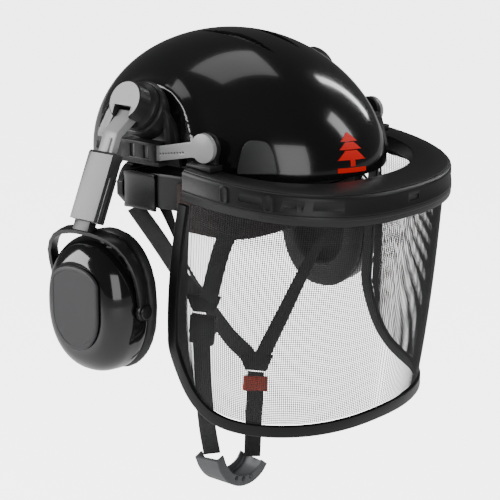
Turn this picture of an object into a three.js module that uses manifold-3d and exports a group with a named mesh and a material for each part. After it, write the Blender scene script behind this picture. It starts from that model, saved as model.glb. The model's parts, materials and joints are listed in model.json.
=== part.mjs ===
// Forestry helmet: hard shell, mesh face visor on a browguard, two ear muffs and a chin harness.
// Millimetres, +Z up, -Y is the way the wearer looks, +X is the wearer's left.
// The origin is on the middle plane, under the shell's centre, at the height of the side rim.
import * as THREE from 'three';
import { mergeVertices } from 'three/addons/utils/BufferGeometryUtils.js';
import Module from 'manifold-3d';

const wasm = await Module();
wasm.setup();

// ---------------------------------------------------------------- driving dimensions
const GAP = 0.35;
const SHELL = { halfWidth: 108, front: 133, rear: 138, height: 106, centreY: 8, wall: 3, skirt: 22 };
const BAY = { floorX: 98, centreY: 20, halfLength: 58, top: 66 };
const HEAD = { halfWidth: 84, front: 101, rear: 106, centreY: 3 };
const VISOR = { pivotY: -56.5, pivotZ: 27, halfWidth: 132, length: 128, corner: 2.35, centreY: -56 };
const FLANGE = { halfWidth: 107, length: 93, thickness: 2.6, skirt: 17, slope: 0.12, topZ: 11 };
const ARM = { x: 112, thickness: 3, height: 12.5, discRadius: 12 };
const MUFF = { pivotX: 106, pivotY: 15, pivotZ: 50, lean: THREE.MathUtils.degToRad(25) };
const CUP = { y: 17, z: -104, halfLength: 45, halfHeight: 58, faceX: 187 };
const WEB = { width: 15, thickness: 1.6 };
const JUNCTION = { right: [-70, -18, -121], left: [25, 3.5, -201] };
const SIDES = [['right', -1], ['left', 1]];

// ---------------------------------------------------------------- materials
const finish = (color, roughness, metalness = 0) =>
  new THREE.MeshStandardMaterial({ color, roughness, metalness });
const glossBlack = finish(0x0a0a0b, 0.12);
const mattBlack = finish(0x17171a, 0.55);
const softBlack = finish(0x1d1d1f, 0.8);
const greyPlastic = finish(0x3a3b3e, 0.5);
const paleGrey = finish(0x9a9b9d, 0.35);
const webbing = finish(0x161616, 0.9);
const textile = finish(0x3a1408, 0.95);
const orange = finish(0xb8381c, 0.5);
const mesh = finish(0x202022, 0.6, 0.3);
const rubber = finish(0x2b2c2f, 0.7);

// ---------------------------------------------------------------- solids and booleans
function enclosedVolume(points, triangles) {
  const [a, b, c] = [new THREE.Vector3(), new THREE.Vector3(), new THREE.Vector3()];
  let total = 0;
  for (let i = 0; i < triangles.length; i += 3) {
    a.fromArray(points, 3 * triangles[i]);
    b.fromArray(points, 3 * triangles[i + 1]);
    c.fromArray(points, 3 * triangles[i + 2]);
    total += a.dot(b.cross(c)) / 6;
  }
  return total;
}

// Turns a closed geometry into a manifold solid, with its faces pointing out.
function solidOf(geometry) {
  const bare = new THREE.BufferGeometry();
  bare.setAttribute('position', geometry.getAttribute('position'));
  if (geometry.index) bare.setIndex(geometry.index);
  const merged = mergeVertices(bare, 1e-3);
  const points = new Float32Array(merged.getAttribute('position').array);
  const triangles = [];
  for (let i = 0; i < merged.index.count; i += 3) {
    const [a, b, c] = [0, 1, 2].map((k) => merged.index.getX(i + k));
    if (a !== b && b !== c && c !== a) triangles.push(a, b, c);
  }
  if (enclosedVolume(points, triangles) < 0) triangles.reverse();
  const triVerts = new Uint32Array(triangles);
  return new wasm.Manifold(new wasm.Mesh({ numProp: 3, vertProperties: points, triVerts }));
}

function geometryOf(solid) {
  const { vertProperties, triVerts } = solid.getMesh();
  const geometry = new THREE.BufferGeometry();
  geometry.setAttribute('position', new THREE.BufferAttribute(vertProperties, 3));
  geometry.setIndex(new THREE.BufferAttribute(triVerts, 1));
  return geometry;
}

const join = (...shapes) => geometryOf(shapes.map(solidOf).reduce((all, next) => all.add(next)));
const cut = (shape, ...tools) =>
  geometryOf(tools.map(solidOf).reduce((rest, tool) => rest.subtract(tool), solidOf(shape)));
const common = (shape, other) => geometryOf(solidOf(shape).intersect(solidOf(other)));

// ---------------------------------------------------------------- basic shapes
const box = (x0, x1, y0, y1, z0, z1) => {
  const block = new THREE.BoxGeometry(Math.abs(x1 - x0), y1 - y0, z1 - z0);
  return block.translate((x0 + x1) / 2, (y0 + y1) / 2, (z0 + z1) / 2);
};

// A cylinder along X between two values of x.
const rodX = (x0, x1, y, z, radius, sides = 28) => {
  const rod = new THREE.CylinderGeometry(radius, radius, Math.abs(x1 - x0), sides);
  return rod.rotateZ(Math.PI / 2).translate((x0 + x1) / 2, y, z);
};

const rodY = (y0, y1, x, z, radius, sides = 20) =>
  new THREE.CylinderGeometry(radius, radius, y1 - y0, sides).translate(x, (y0 + y1) / 2, z);

function polygon(points) {
  return new THREE.Shape(points.map(([x, y]) => new THREE.Vector2(x, y)));
}

// A rectangle centred on (0, 0) with its corners cut at 45 degrees, or left square.
function chamfered(width, height, corner) {
  const [w, h] = [width / 2, height / 2];
  if (corner === 0) return polygon([[-w, -h], [w, -h], [w, h], [-w, h]]);
  return polygon([
    [-w, -h + corner], [-w + corner, -h], [w - corner, -h], [w, -h + corner],
    [w, h - corner], [w - corner, h], [-w + corner, h], [-w, h - corner],
  ]);
}

// Carries a flat outline (u, v) along a route: place(u, v, t) gives the point for t from 0 to 1.
function sweep(outline, steps, place) {
  const options = { depth: 1, steps, bevelEnabled: false, curveSegments: 5 };
  const geometry = new THREE.ExtrudeGeometry(outline, options);
  const position = geometry.getAttribute('position');
  for (let i = 0; i < position.count; i += 1) {
    const point = place(position.getX(i), position.getY(i), position.getZ(i));
    position.setXYZ(i, point.x, point.y, point.z);
  }
  return geometry;
}

// Extrudes an outline drawn in (y, z) across X, from x0 to x1.
function acrossX(outline, x0, x1) {
  return sweep(outline, 1, (y, z, t) => new THREE.Vector3(x0 + (x1 - x0) * t, y, z));
}

// A bar of the given section through points; normals give the way its flat face looks.
function bar(points, normals, outline, steps) {
  const path = new THREE.CatmullRomCurve3(points.map((p) => new THREE.Vector3(...p)), false, 'centripetal');
  const facing = normals.map((n) => new THREE.Vector3(...n));
  return sweep(outline, steps, (u, v, t) => {
    const along = path.getTangent(t);
    const scaled = t * (facing.length - 1);
    const first = Math.min(Math.floor(scaled), facing.length - 2);
    const look = facing[first].clone().lerp(facing[first + 1], scaled - first);
    look.addScaledVector(along, -look.dot(along)).normalize();
    const side = new THREE.Vector3().crossVectors(along, look);
    return path.getPoint(t).addScaledVector(side, u).addScaledVector(look, v);
  });
}

const web = (points, normals, steps, width = WEB.width) =>
  bar(points, normals, chamfered(width, WEB.thickness, 0), steps);

function mirrored(geometry) {
  return geometry.clone().scale(-1, 1, 1);
}

const helmet = new THREE.Group();
helmet.name = 'forestry_helmet';

function add(name, geometry, material) {
  const clean = geometryOf(solidOf(geometry));
  clean.computeVertexNormals();
  const part = new THREE.Mesh(clean, material);
  part.name = name;
  helmet.add(part);
}

// Adds a piece drawn for the wearer's left side (+X) on both sides, the left one moved by a given step.
function addPair(name, geometry, material, leftStep = [0, 0, 0]) {
  for (const [side, sign] of SIDES) {
    add(`${name}_${side}`, sign > 0 ? geometry.clone().translate(...leftStep) : mirrored(geometry),
      material);
  }
}

const power = (value, exponent) => Math.sign(value) * Math.abs(value) ** exponent;
const blend = (from, to, t) => from + (to - from) * t;
const smooth = (t) => THREE.MathUtils.smoothstep(t, 0, 1);

// ---------------------------------------------------------------- shell
// The dome is a unit hemisphere with a skirt, stretched to a superellipse that is more raked in front.
function dome(inset, segments, rings) {
  const profile = [new THREE.Vector2(0, 1)];
  for (let i = 1; i <= rings; i += 1) {
    const angle = (i / rings) * (Math.PI / 2);
    profile.push(new THREE.Vector2(Math.sin(angle), Math.max(Math.cos(angle), 0)));
  }
  profile.push(new THREE.Vector2(1, -1), new THREE.Vector2(0, -1));
  const geometry = new THREE.LatheGeometry(profile, segments).rotateX(Math.PI / 2);
  const position = geometry.getAttribute('position');
  for (let i = 0; i < position.count; i += 1) {
    const [x, y, z] = [position.getX(i), position.getY(i), position.getZ(i)];
    const radius = Math.min(Math.hypot(x, y), 1);
    const [cos, sin] = radius > 1e-6 ? [x / Math.hypot(x, y), y / Math.hypot(x, y)] : [1, 0];
    const fullness = sin < 0 ? blend(2.05, 1.82, sin * sin) : blend(2.05, 2, sin * sin);
    const reach = z >= 0 ? Math.sqrt(Math.max(1 - z * z, 0)) ** (2 / fullness) : radius;
    const rise = z >= 0 ? z ** (2 / fullness) * (SHELL.height - inset) : z * SHELL.skirt;
    const length = (sin < 0 ? SHELL.front + SHELL.centreY : SHELL.rear - SHELL.centreY) - inset;
    const px = power(cos, 2 / 2.1) * reach * (SHELL.halfWidth - inset);
    const py = power(sin, 2 / 2.1) * reach * length + SHELL.centreY;
    position.setXYZ(i, px, py, rise);
  }
  return geometry;
}

// Side bay: a flat-floored recess under an arch, where the ear muff carrier is fitted.
function bayOutline(grow) {
  const outline = new THREE.Shape();
  const { centreY, halfLength, top } = BAY;
  outline.moveTo(centreY - halfLength - grow, -40);
  outline.lineTo(centreY + halfLength + grow, -40);
  outline.lineTo(centreY + halfLength + grow, 8);
  outline.bezierCurveTo(centreY + halfLength + grow, top * 0.62, centreY + 36, top + grow,
    centreY, top + grow);
  outline.bezierCurveTo(centreY - 32, top + grow, centreY - halfLength - grow, top * 0.66,
    centreY - halfLength - grow, 8);
  return outline;
}

function shellPiece() {
  const bays = (grow, floor) => [-1, 1].map((s) => acrossX(bayOutline(grow), s * floor, s * 130));
  // the raised bead round the bay is the arch's band of dome, pushed out by its own height
  const bead = (s) => cut(
    common(dome(-4.5, 24, 7), acrossX(bayOutline(7), s * 60, s * 130)),
    acrossX(bayOutline(0), s * 55, s * 135), box(-130, 130, -160, 160, -40, -3),
  );
  const outside = cut(join(dome(0, 32, 9), bead(-1), bead(1)), ...bays(0, BAY.floorX));
  const inside = cut(dome(SHELL.wall, 24, 7), ...bays(SHELL.wall, BAY.floorX - SHELL.wall));
  const rim = new THREE.Shape();
  rim.moveTo(-160, -3);
  rim.lineTo(-70, -1);
  rim.bezierCurveTo(-40, 0, -35, 4, -10, 4);
  rim.lineTo(22, 4);
  rim.bezierCurveTo(50, 4, 70, -10, 100, -13);
  rim.lineTo(160, -15);
  rim.lineTo(160, -60);
  rim.lineTo(-160, -60);
  // lens-shaped crown vents, one each side of the centre line
  const vent = new THREE.Shape();
  vent.moveTo(-52, 0);
  vent.quadraticCurveTo(-10, 11, 32, 0);
  vent.quadraticCurveTo(-10, -9, -52, 0);
  const vents = [-1, 1].map((s) =>
    sweep(vent, 1, (u, v, t) => new THREE.Vector3(s * (17 + v), u, 70 + 60 * t)));
  return cut(outside, inside, acrossX(rim, -140, 140), ...vents);
}
add('helmet_shell', shellPiece(), glossBlack);

// ---------------------------------------------------------------- head cradle
// Point on the oval round the head: angle 0 is the forehead, +90 degrees the left ear.
function headPoint(degrees, offset) {
  const angle = THREE.MathUtils.degToRad(degrees);
  const [s, c] = [Math.sin(angle), Math.cos(angle)];
  const length = c > 0 ? HEAD.front + HEAD.centreY : HEAD.rear - HEAD.centreY;
  const out = new THREE.Vector3(s / HEAD.halfWidth, -c / length, 0).normalize();
  return new THREE.Vector3(HEAD.halfWidth * s, HEAD.centreY - length * c, 0).addScaledVector(out, offset);
}

// A band round the oval: outline (u, v) has u outwards in mm and v from 0 at the lower edge to 1.
function headBandPiece(outline, from, to, steps, lower, upper) {
  return sweep(outline, steps, (u, v, t) => {
    const degrees = blend(from, to, t);
    const point = headPoint(degrees, u);
    point.z = blend(lower(degrees), upper(degrees), v);
    return point;
  });
}

const band = (inner, outer) => polygon([[inner, 0], [outer, 0], [outer, 1], [inner, 1]]);
const rearward = (degrees) => smooth((Math.abs(degrees) - 87) / 73);
add('headband', headBandPiece(band(0, 2), -152, 152, 46,
  (d) => blend(-38, -50, rearward(d)), (d) => blend(-8, -24, rearward(d))), mattBlack);

// The sweatband is folded round the headband's lower edge, and hangs lower at the temples.
// Outline heights under FOOT are measured from its own foot, which is at FOOT - 10.
const FOOT = -90;
const padFoot = (degrees) => -45.5 - 12.5 * smooth((Math.abs(degrees) - 15) / 45)
  + 2.5 * smooth((Math.abs(degrees) - 62) / 24);
const padOutline = polygon([
  [-4.6, -12], [-4.6, FOOT - 7], [-3.4, FOOT - 10], [-1.2, FOOT - 10], [0, FOOT - 7], [0, -41],
  [2.6, -41], [3.8, -39], [3.8, -13], [2.4, -13], [2.4, -38.4], [-0.4, -38.4], [-0.4, -12],
]);
add('brow_pad', sweep(padOutline, 30, (u, z, t) => {
  const degrees = blend(-86, 86, t);
  const point = headPoint(degrees, u);
  point.z = z < FOOT ? padFoot(degrees) + z - FOOT + 10 : z;
  return point;
}), textile);

const nape = (degrees) => smooth(Math.abs(degrees - 180) / 80);
add('nape_band', headBandPiece(band(2.4, 5), 100, 260, 32,
  (d) => blend(-62, -42, nape(d)), (d) => blend(-30, -10, nape(d))), glossBlack);

const HOUSING = { y0: 111.4, y1: 119, z: -44 };
add('ratchet_housing', cut(
  sweep(chamfered(64, 30, 9), 1, (u, v, t) =>
    new THREE.Vector3(u, blend(HOUSING.y0, HOUSING.y1, t), HOUSING.z + v)),
  rodY(HOUSING.y0 + 3, HOUSING.y1 + 2, 0, HOUSING.z, 6.4),
), mattBlack);

function knobPiece() {
  const profile = [[0, 0], [17.5, 0], [19, 1.5], [19, 10.5], [16.5, 13], [6, 13], [4.5, 11.5], [0, 11.5]];
  const knob = new THREE.LatheGeometry(profile.map(([r, h]) => new THREE.Vector2(r, h)), 24);
  const grips = [];
  for (let i = 0; i < 12; i += 1) {
    const angle = (i / 12) * 2 * Math.PI;
    grips.push(new THREE.CylinderGeometry(1.7, 1.7, 30, 6)
      .translate(20.1 * Math.cos(angle), 6, 20.1 * Math.sin(angle)));
  }
  const stem = new THREE.CylinderGeometry(6, 6, 5, 20).translate(0, -2.2, 0);
  return join(cut(knob, ...grips), stem).translate(0, HOUSING.y1 + GAP, HOUSING.z);
}
add('ratchet_knob', knobPiece(), mattBlack);

// Each clip holds a cradle strap's end and stands in a socket inside the shell's wall.
const CLIPS = {
  front: { at: [74, -76], turn: -33 },
  rear: { at: [66, 84], turn: 38 },
};
function clipPiece({ at, turn }) {
  const body = join(box(-2.5, 2.5, -11, 11, -9, 6), box(-1.4, 2.5, -8, 8, 5.9, 15));
  const slot = box(-0.9, 0.9, -8.4, 8.4, -20, -2);
  const angle = THREE.MathUtils.degToRad(turn);
  return cut(body, slot).rotateZ(angle).translate(at[0], at[1], 0);
}
for (const [end, spec] of Object.entries(CLIPS)) addPair(`cradle_clip_${end}`, clipPiece(spec), mattBlack);

// Two textile straps cross over the crown, one above the other.
function cradleStrap(sign, crown) {
  const points = [
    [70 * sign, -71, 8], [62 * sign, -62, 42], [34 * sign, -34, crown - 12], [0, 4, crown],
    [-30 * sign, 40, crown - 10], [-54 * sign, 68, 42], [-61 * sign, 78, 8],
  ];
  const looks = [[-sign, 1, 0.1], [-sign, 1, 1], [0, 0, 1], [0, 0, 1], [0, 0, 1], [sign, -1, 1],
    [sign, -1, 0.1]];
  return web(points, looks.map(([x, y, z]) => [-x, -y, z]), 22, 18);
}
add('cradle_strap_lower', cradleStrap(1, 84), webbing);
add('cradle_strap_upper', cradleStrap(-1, 87), webbing);

// ---------------------------------------------------------------- side carriers
// The carrier fills the bay: a plate, a boss for the ear muff and a channel for the visor arm.
const CARRIER = { backX: 98.4, plateX: 103, clipX: 116, clipY: [-6, 32], clipZ: [8.5, 24.5] };
const lean = { x: Math.cos(MUFF.lean), z: Math.sin(MUFF.lean) };
// Left-side point at (out, down) from the muff pivot, along and across its leaning axis.
const leaning = (out, y, down) => new THREE.Vector3(
  MUFF.pivotX + lean.x * out + lean.z * down, y, MUFF.pivotZ + lean.z * out - lean.x * down);

// A round piece on the muff pivot's axis, from a profile of [radius, out].
function onPivot(profile, sides) {
  const turned = new THREE.LatheGeometry(profile.map(([r, h]) => new THREE.Vector2(r, h)), sides);
  return turned.rotateX(Math.PI / 2).rotateY(Math.PI / 2 - MUFF.lean)
    .translate(MUFF.pivotX, MUFF.pivotY, MUFF.pivotZ);
}

function carrierPiece() {
  const plate = new THREE.Shape();
  plate.moveTo(-22, 5);
  plate.lineTo(62, 5);
  plate.lineTo(58, 26);
  plate.bezierCurveTo(50, 48, 36, 58, 20, 58);
  plate.bezierCurveTo(2, 58, -14, 48, -18, 30);
  const boss = cut(onPivot([[0, -12], [23, -12], [23, 3.5], [21.5, 5], [0, 5]], 26),
    box(60, 98.4, -40, 60, 0, 90));
  const rib = acrossX(polygon([[-16, 20], [-9, 20], [-7, 52], [-13, 46]]), CARRIER.plateX - 1, 107);
  const [y0, y1] = CARRIER.clipY;
  const [z0, z1] = CARRIER.clipZ;
  const clip = box(CARRIER.plateX - 1, CARRIER.clipX, y0, y1, z0, z1);
  const lip = box(CARRIER.plateX - 1, 113, y0 - 2, y1 + 2, 5, 8.6);
  const half = ARM.thickness / 2 + GAP;
  const middle = (z0 + z1) / 2;
  const channel = box(ARM.x - half, ARM.x + half, y0 - 5, y1 - 2, middle - ARM.height / 2 - GAP,
    middle + ARM.height / 2 + GAP);
  const windows = [[2, 7], [17, 22]].map(([a, b]) => box(ARM.x, 120, a, b, z0 + 2.4, z1 - 2.4));
  return cut(join(acrossX(plate, CARRIER.backX, CARRIER.plateX), boss, rib, clip, lip), channel, ...windows,
    onPivot([[0, -0.5], [6.4, -0.5], [6.4, 8], [0, 8]], 14));
}
addPair('muff_carrier', carrierPiece(), mattBlack);

// ---------------------------------------------------------------- accessory plug covers
// Rounded trapezium snapped over the front accessory socket; its face is flat.
const PLUG = { at: [80.5, -85, 17], turn: -38, tip: -9, size: 0.74 };
function plugPiece() {
  const outline = new THREE.Shape();
  outline.moveTo(-19, -14);
  outline.lineTo(17, -14);
  outline.bezierCurveTo(19, -14, 20, -12, 19.5, -10);
  outline.bezierCurveTo(17, 4, 14, 15, 8, 17);
  outline.bezierCurveTo(2, 18, -6, 17, -9, 16);
  outline.bezierCurveTo(-15, 14, -20, -2, -20.5, -11);
  outline.bezierCurveTo(-21, -13, -20.5, -14, -19, -14);
  const options = { depth: 5, bevelEnabled: true, bevelThickness: 1.6, bevelSize: 1.6, bevelSegments: 2,
    curveSegments: 4 };
  const cover = new THREE.ExtrudeGeometry(outline, options).translate(0, 0, -1.6);
  cover.scale(PLUG.size, PLUG.size * 1.08, 1);
  return cover.rotateX(Math.PI / 2 + THREE.MathUtils.degToRad(PLUG.tip)).rotateZ(THREE.MathUtils.degToRad(90 + PLUG.turn))
    .translate(...PLUG.at);
}
addPair('plug_cover', cut(plugPiece(), dome(-0.4, 52, 13)), greyPlastic);

// ---------------------------------------------------------------- visor: arms, hinge and browguard
// Each arm slides in its carrier's channel and ends in the disc that the browguard turns on.
const CHANNEL_Z = (CARRIER.clipZ[0] + CARRIER.clipZ[1]) / 2;
function visorArmPiece() {
  const [x0, x1] = [ARM.x - ARM.thickness / 2, ARM.x + ARM.thickness / 2];
  const half = ARM.height / 2;
  const strap = polygon([
    [CARRIER.clipY[1] - 4, CHANNEL_Z - half], [CARRIER.clipY[1] - 4, CHANNEL_Z + half],
    [-8, CHANNEL_Z + half], [-45, VISOR.pivotZ + 4], [-52, VISOR.pivotZ + 8],
    [-52, VISOR.pivotZ - 9], [-44, VISOR.pivotZ - 9], [-8, CHANNEL_Z - half],
  ]);
  const disc = rodX(x0, x1 + 1, VISOR.pivotY, VISOR.pivotZ, ARM.discRadius, 26);
  const holes = [];
  for (let i = 0; i < 9; i += 1) {
    const y = -10 - 3.1 * i;
    holes.push(rodX(x0 - 1, x1 + 1, y, CHANNEL_Z - 0.16 * (y + 8), 1, 6));
  }
  const socket = rodX(x0 - 1, x1, VISOR.pivotY, VISOR.pivotZ, 3.5 + GAP, 10);
  return cut(join(acrossX(strap, x0, x1), disc), ...holes, socket);
}
addPair('visor_arm', visorArmPiece(), paleGrey);

const EAR = { x0: 105.6, x1: 110.1 };
const flangeZ = (y) => FLANGE.topZ + FLANGE.slope * (y - VISOR.centreY);
function visorPinPiece() {
  const shank = rodX(EAR.x0 - 2, 112.6, VISOR.pivotY, VISOR.pivotZ, 3.5, 10);
  return join(shank, rodX(EAR.x0 - 2.2, EAR.x0 - GAP, VISOR.pivotY, VISOR.pivotZ, 6, 14));
}
addPair('visor_pin', visorPinPiece(), mattBlack);

function visorBracketPiece() {
  const [front, back] = [VISOR.pivotY - 14, VISOR.pivotY + 12];
  const foot = polygon([
    [front, flangeZ(front) + GAP], [back, flangeZ(back) + GAP], [back, 14.4], [front, 14.4],
  ]);
  const neck = box(EAR.x0, EAR.x1, VISOR.pivotY - 10, VISOR.pivotY + 9, 13, VISOR.pivotZ);
  const ear = rodX(EAR.x0, EAR.x1, VISOR.pivotY, VISOR.pivotZ, 12.5, 22);
  const bore = rodX(EAR.x0 - 2, EAR.x1 + 2, VISOR.pivotY, VISOR.pivotZ, 3.5 + GAP, 10);
  return cut(join(acrossX(foot, EAR.x0, 121), neck, ear), bore);
}
addPair('visor_bracket', visorBracketPiece(), mattBlack);

// Plan of the visor: half a superellipse in front of the hinge line, then straight sides back to rearY.
const STRAIGHT = 0.05;
function visorPlan(t, halfWidth, length, rearY) {
  const scaled = (t - STRAIGHT) / (1 - 2 * STRAIGHT);
  if (scaled < 0) return new THREE.Vector3(-halfWidth, blend(rearY, VISOR.centreY, t / STRAIGHT), 0);
  if (scaled > 1) {
    return new THREE.Vector3(halfWidth, blend(rearY, VISOR.centreY, (1 - t) / STRAIGHT), 0);
  }
  const angle = Math.PI * (1 + scaled);
  const x = power(Math.cos(angle), 2 / VISOR.corner) * halfWidth;
  return new THREE.Vector3(x, VISOR.centreY + power(Math.sin(angle), 2 / VISOR.corner) * length, 0);
}

// Section (u, v): u from 0 on the flange's inner edge to 1 on its outer edge, v in mm from its top.
function browPiece(section, rearY, steps) {
  return sweep(polygon(section), steps, (u, v, t) => {
    const inner = visorPlan(t, FLANGE.halfWidth, FLANGE.length, rearY);
    const outer = visorPlan(t, VISOR.halfWidth, VISOR.length, rearY);
    const point = inner.lerp(outer, u);
    point.z = flangeZ(point.y) + v;
    return point;
  });
}
const browShape = browPiece([
  [0, 0], [0.93, 0], [1, -2], [1, -FLANGE.skirt], [0.93, -FLANGE.skirt], [0.93, -FLANGE.thickness],
  [0.07, -FLANGE.thickness], [0.07, -13], [0, -13],
], -50, 32);
// three snap bosses stand on each side of the skirt
const bosses = [[0.115, 5], [0.2, 5], [0.29, 3]].flatMap(([t, tall]) => [t, 1 - t].map((at) => {
  const point = visorPlan(at, VISOR.halfWidth, VISOR.length, -50);
  const boss = new THREE.SphereGeometry(1, 6, 4).scale(3.2, 3.2, tall);
  return boss.translate(point.x, point.y, flangeZ(point.y) - 9);
}));
add('browguard', join(browShape, ...bosses), greyPlastic);
add('mesh_retainer', browPiece([
  [0.95, -FLANGE.skirt - GAP], [1.012, -FLANGE.skirt - GAP], [1.012, -25], [0.95, -25],
], -50, 32), greyPlastic);

// ---------------------------------------------------------------- visor mesh and its edge trim
const MESH = { topDrop: 6, frontRake: 31, bottomZ: -199, thickness: 1, trimWidth: 10, trimThickness: 4.6 };
function meshPoint(t, h, inset) {
  const below = visorPlan(t, 124, 95, -46);
  const q = THREE.MathUtils.clamp((below.y + 151) / 105, 0, 1);
  const bottom = MESH.bottomZ + 13 * q + 50 * q ** 7;
  const start = visorPlan(t, VISOR.halfWidth, VISOR.length, -51);
  const z = blend(flangeZ(start.y) - MESH.topDrop, bottom, h);
  const fall = THREE.MathUtils.clamp(-z / 210, 0, 1);
  const side = VISOR.halfWidth - 4 + 7 * Math.sin(Math.PI * Math.min(fall * 0.78, 1)) - 9 * fall ** 3;
  const length = VISOR.length - 4.2 - MESH.frontRake * fall;
  const rear = -58 + 12 * Math.sin((Math.PI / 2) * Math.min(fall * 1.5, 1));
  const point = visorPlan(t, side - inset, length - inset, rear);
  point.z = z;
  return point;
}
const meshSteps = 6;
const sheet = [];
for (let i = 0; i <= meshSteps; i += 1) sheet.push([0, i / meshSteps]);
for (let i = meshSteps; i >= 0; i -= 1) sheet.push([MESH.thickness, i / meshSteps]);
add('visor_mesh', sweep(polygon(sheet), 34, (u, v, t) => meshPoint(t, v, u)), mesh);

function trimPiece() {
  const edge = [];
  for (let i = 0; i < 14; i += 1) edge.push([0, blend(0.17, 0.94, i / 13)]);
  for (let i = 0; i <= 32; i += 1) edge.push([i / 32, 1]);
  for (let i = 13; i >= 0; i -= 1) edge.push([1, blend(0.17, 0.94, i / 13)]);
  const middle = new THREE.Vector3(0, -56, -90);
  const onEdge = edge.map(([t, h]) => meshPoint(t, h, MESH.thickness / 2));
  const normals = edge.map(([t, h]) => meshPoint(t, h, 0).sub(meshPoint(t, h, 2)).normalize());
  const centres = onEdge.map((point, i) => {
    const ahead = onEdge[Math.min(i + 1, onEdge.length - 1)];
    const along = ahead.clone().sub(onEdge[Math.max(i - 1, 0)]).normalize();
    const away = new THREE.Vector3().crossVectors(along, normals[i]).normalize();
    if (away.dot(point.clone().sub(middle)) < 0) away.negate();
    return point.clone().addScaledVector(away, GAP + MESH.trimWidth / 2 + 1.3);
  });
  const list = (vectors) => vectors.map((p) => p.toArray());
  return bar(list(centres), list(normals), chamfered(MESH.trimWidth, MESH.trimThickness, 1.4), 38);
}
add('mesh_edge_trim', trimPiece(), softBlack);

// ---------------------------------------------------------------- ear muffs
// A block given between two values of (out, y, down) in the muff pivot's leaning frame.
const leanBlock = (outline, y0, y1) => sweep(outline, 1,
  (out, down, t) => leaning(out, blend(y0, y1, t), down));
const leanBox = (o0, o1, y0, y1, d0, d1) => leanBlock(polygon([[o0, d0], [o1, d0], [o1, d1], [o0, d1]]),
  y0, y1);

addPair('pivot_hub', cut(
  onPivot([[0, 0], [6, 0], [6, 5.4], [20.5, 5.4], [20.5, 10], [17, 12], [17, 23.5], [15.5, 25],
    [0, 25]], 26),
  leanBox(10.5, 30, MUFF.pivotY - 9, MUFF.pivotY + 9, 4.5, 30),
), mattBlack);

// The left muff is pushed further up its arm than the right one.
const LEFT_LIFT = 12;
const LIFTED = [-lean.z * LEFT_LIFT, 0, lean.x * LEFT_LIFT];
const STRAP = { hinge: [16, 10], straightFrom: 31, out: 27, end: 91.5, halfWidth: 8, halfDepth: 3 };
function muffArmPiece() {
  const [out, down] = STRAP.hinge;
  const { halfDepth } = STRAP;
  const outline = polygon([
    [out - 3.5, down - 2], [out, down - 4], [out + 3.5, down - 2.5], [out + 5, down + 3],
    [STRAP.out + halfDepth, STRAP.straightFrom - 3], [STRAP.out + halfDepth, STRAP.end],
    [STRAP.out - halfDepth, STRAP.end], [STRAP.out - halfDepth, STRAP.straightFrom], [out - 3.5, down + 4],
  ]);
  const y0 = MUFF.pivotY - STRAP.halfWidth;
  const y1 = MUFF.pivotY + STRAP.halfWidth;
  const groove = leanBox(STRAP.out + halfDepth - 1.2, STRAP.out + 9, y0 + 4, y0 + 5.5, 34, 120);
  return cut(leanBlock(outline, y0, y1), groove);
}
addPair('muff_arm', muffArmPiece(), paleGrey);

const SLEEVE = { from: 46, to: 104, halfWidth: 13.5, inner: 21, outer: 33 };
function sleevePiece() {
  const y = CUP.y - 1;
  const body = leanBlock(polygon([
    [SLEEVE.inner, SLEEVE.from], [SLEEVE.outer - 1.5, SLEEVE.from], [SLEEVE.outer, SLEEVE.from + 2],
    [SLEEVE.outer, SLEEVE.to], [SLEEVE.inner, SLEEVE.to],
  ]), y - SLEEVE.halfWidth, y + SLEEVE.halfWidth);
  const channel = leanBox(STRAP.out - 3.4, STRAP.out + 3.4, MUFF.pivotY - 8.4, MUFF.pivotY + 8.4, 30,
    SLEEVE.to + 1);
  const ribs = [leanBox(22.5, 25, y - 15.5, y - 13, 66, SLEEVE.to),
    leanBox(28, 30.5, y - 15.5, y - 13, 66, SLEEVE.to)];
  return cut(join(body, ...ribs), channel);
}
addPair('arm_sleeve', sleevePiece(), glossBlack, LIFTED);

// The yoke is a fork that carries the cup on two side pins.
const YOKE = { pin: [158.5, -104], reach: 48.2, width: 9, thickness: 3.6, eye: 7.5 };
function yokePiece() {
  const half = (sign) => [
    [YOKE.pin[0], YOKE.pin[1], YOKE.reach], [161.5, -84, YOKE.reach], [167, -64, 46.5],
    [171.5, -48.5, 35], [173.5, -42, 16],
  ].map(([x, z, y]) => [x, CUP.y + sign * y, z]);
  const points = [...half(1), [174, CUP.y, -41], ...half(-1).reverse()];
  const looks = points.map(([x, y, z]) => [(x - 152) * 0.5, y - CUP.y, (z + 104) * 0.55]);
  const strip = bar(points, looks, chamfered(YOKE.width, YOKE.thickness, 0), 20);
  const tongue = leanBox(23, 31, CUP.y - 9, CUP.y + 8, SLEEVE.to + GAP, 112.5);
  const bosses = [-1, 1].map((s) => rodY(CUP.y + s * YOKE.reach - 2, CUP.y + s * YOKE.reach + 2,
    ...YOKE.pin, YOKE.eye, 12));
  const bores = [-1, 1].map((s) => rodY(CUP.y + s * YOKE.reach - 6, CUP.y + s * YOKE.reach + 6,
    ...YOKE.pin, 3.35, 10));
  return cut(join(strip, tongue, ...bosses), ...bores);
}
addPair('muff_yoke', yokePiece(), softBlack, LIFTED);

for (const [place, s] of [['front', -1], ['rear', 1]]) {
  const face = CUP.y + s * (YOKE.reach + 2 + GAP);
  const edge = CUP.y + s * (CUP.halfLength + GAP);
  const shank = rodY(Math.min(edge, face + s), Math.max(edge, face + s), ...YOKE.pin, 3, 10);
  const head = rodY(Math.min(face, face + s * 1.8), Math.max(face, face + s * 1.8), ...YOKE.pin, 6, 14);
  addPair(`yoke_pin_${place}`, join(shank, head), mattBlack, LIFTED);
}

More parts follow.
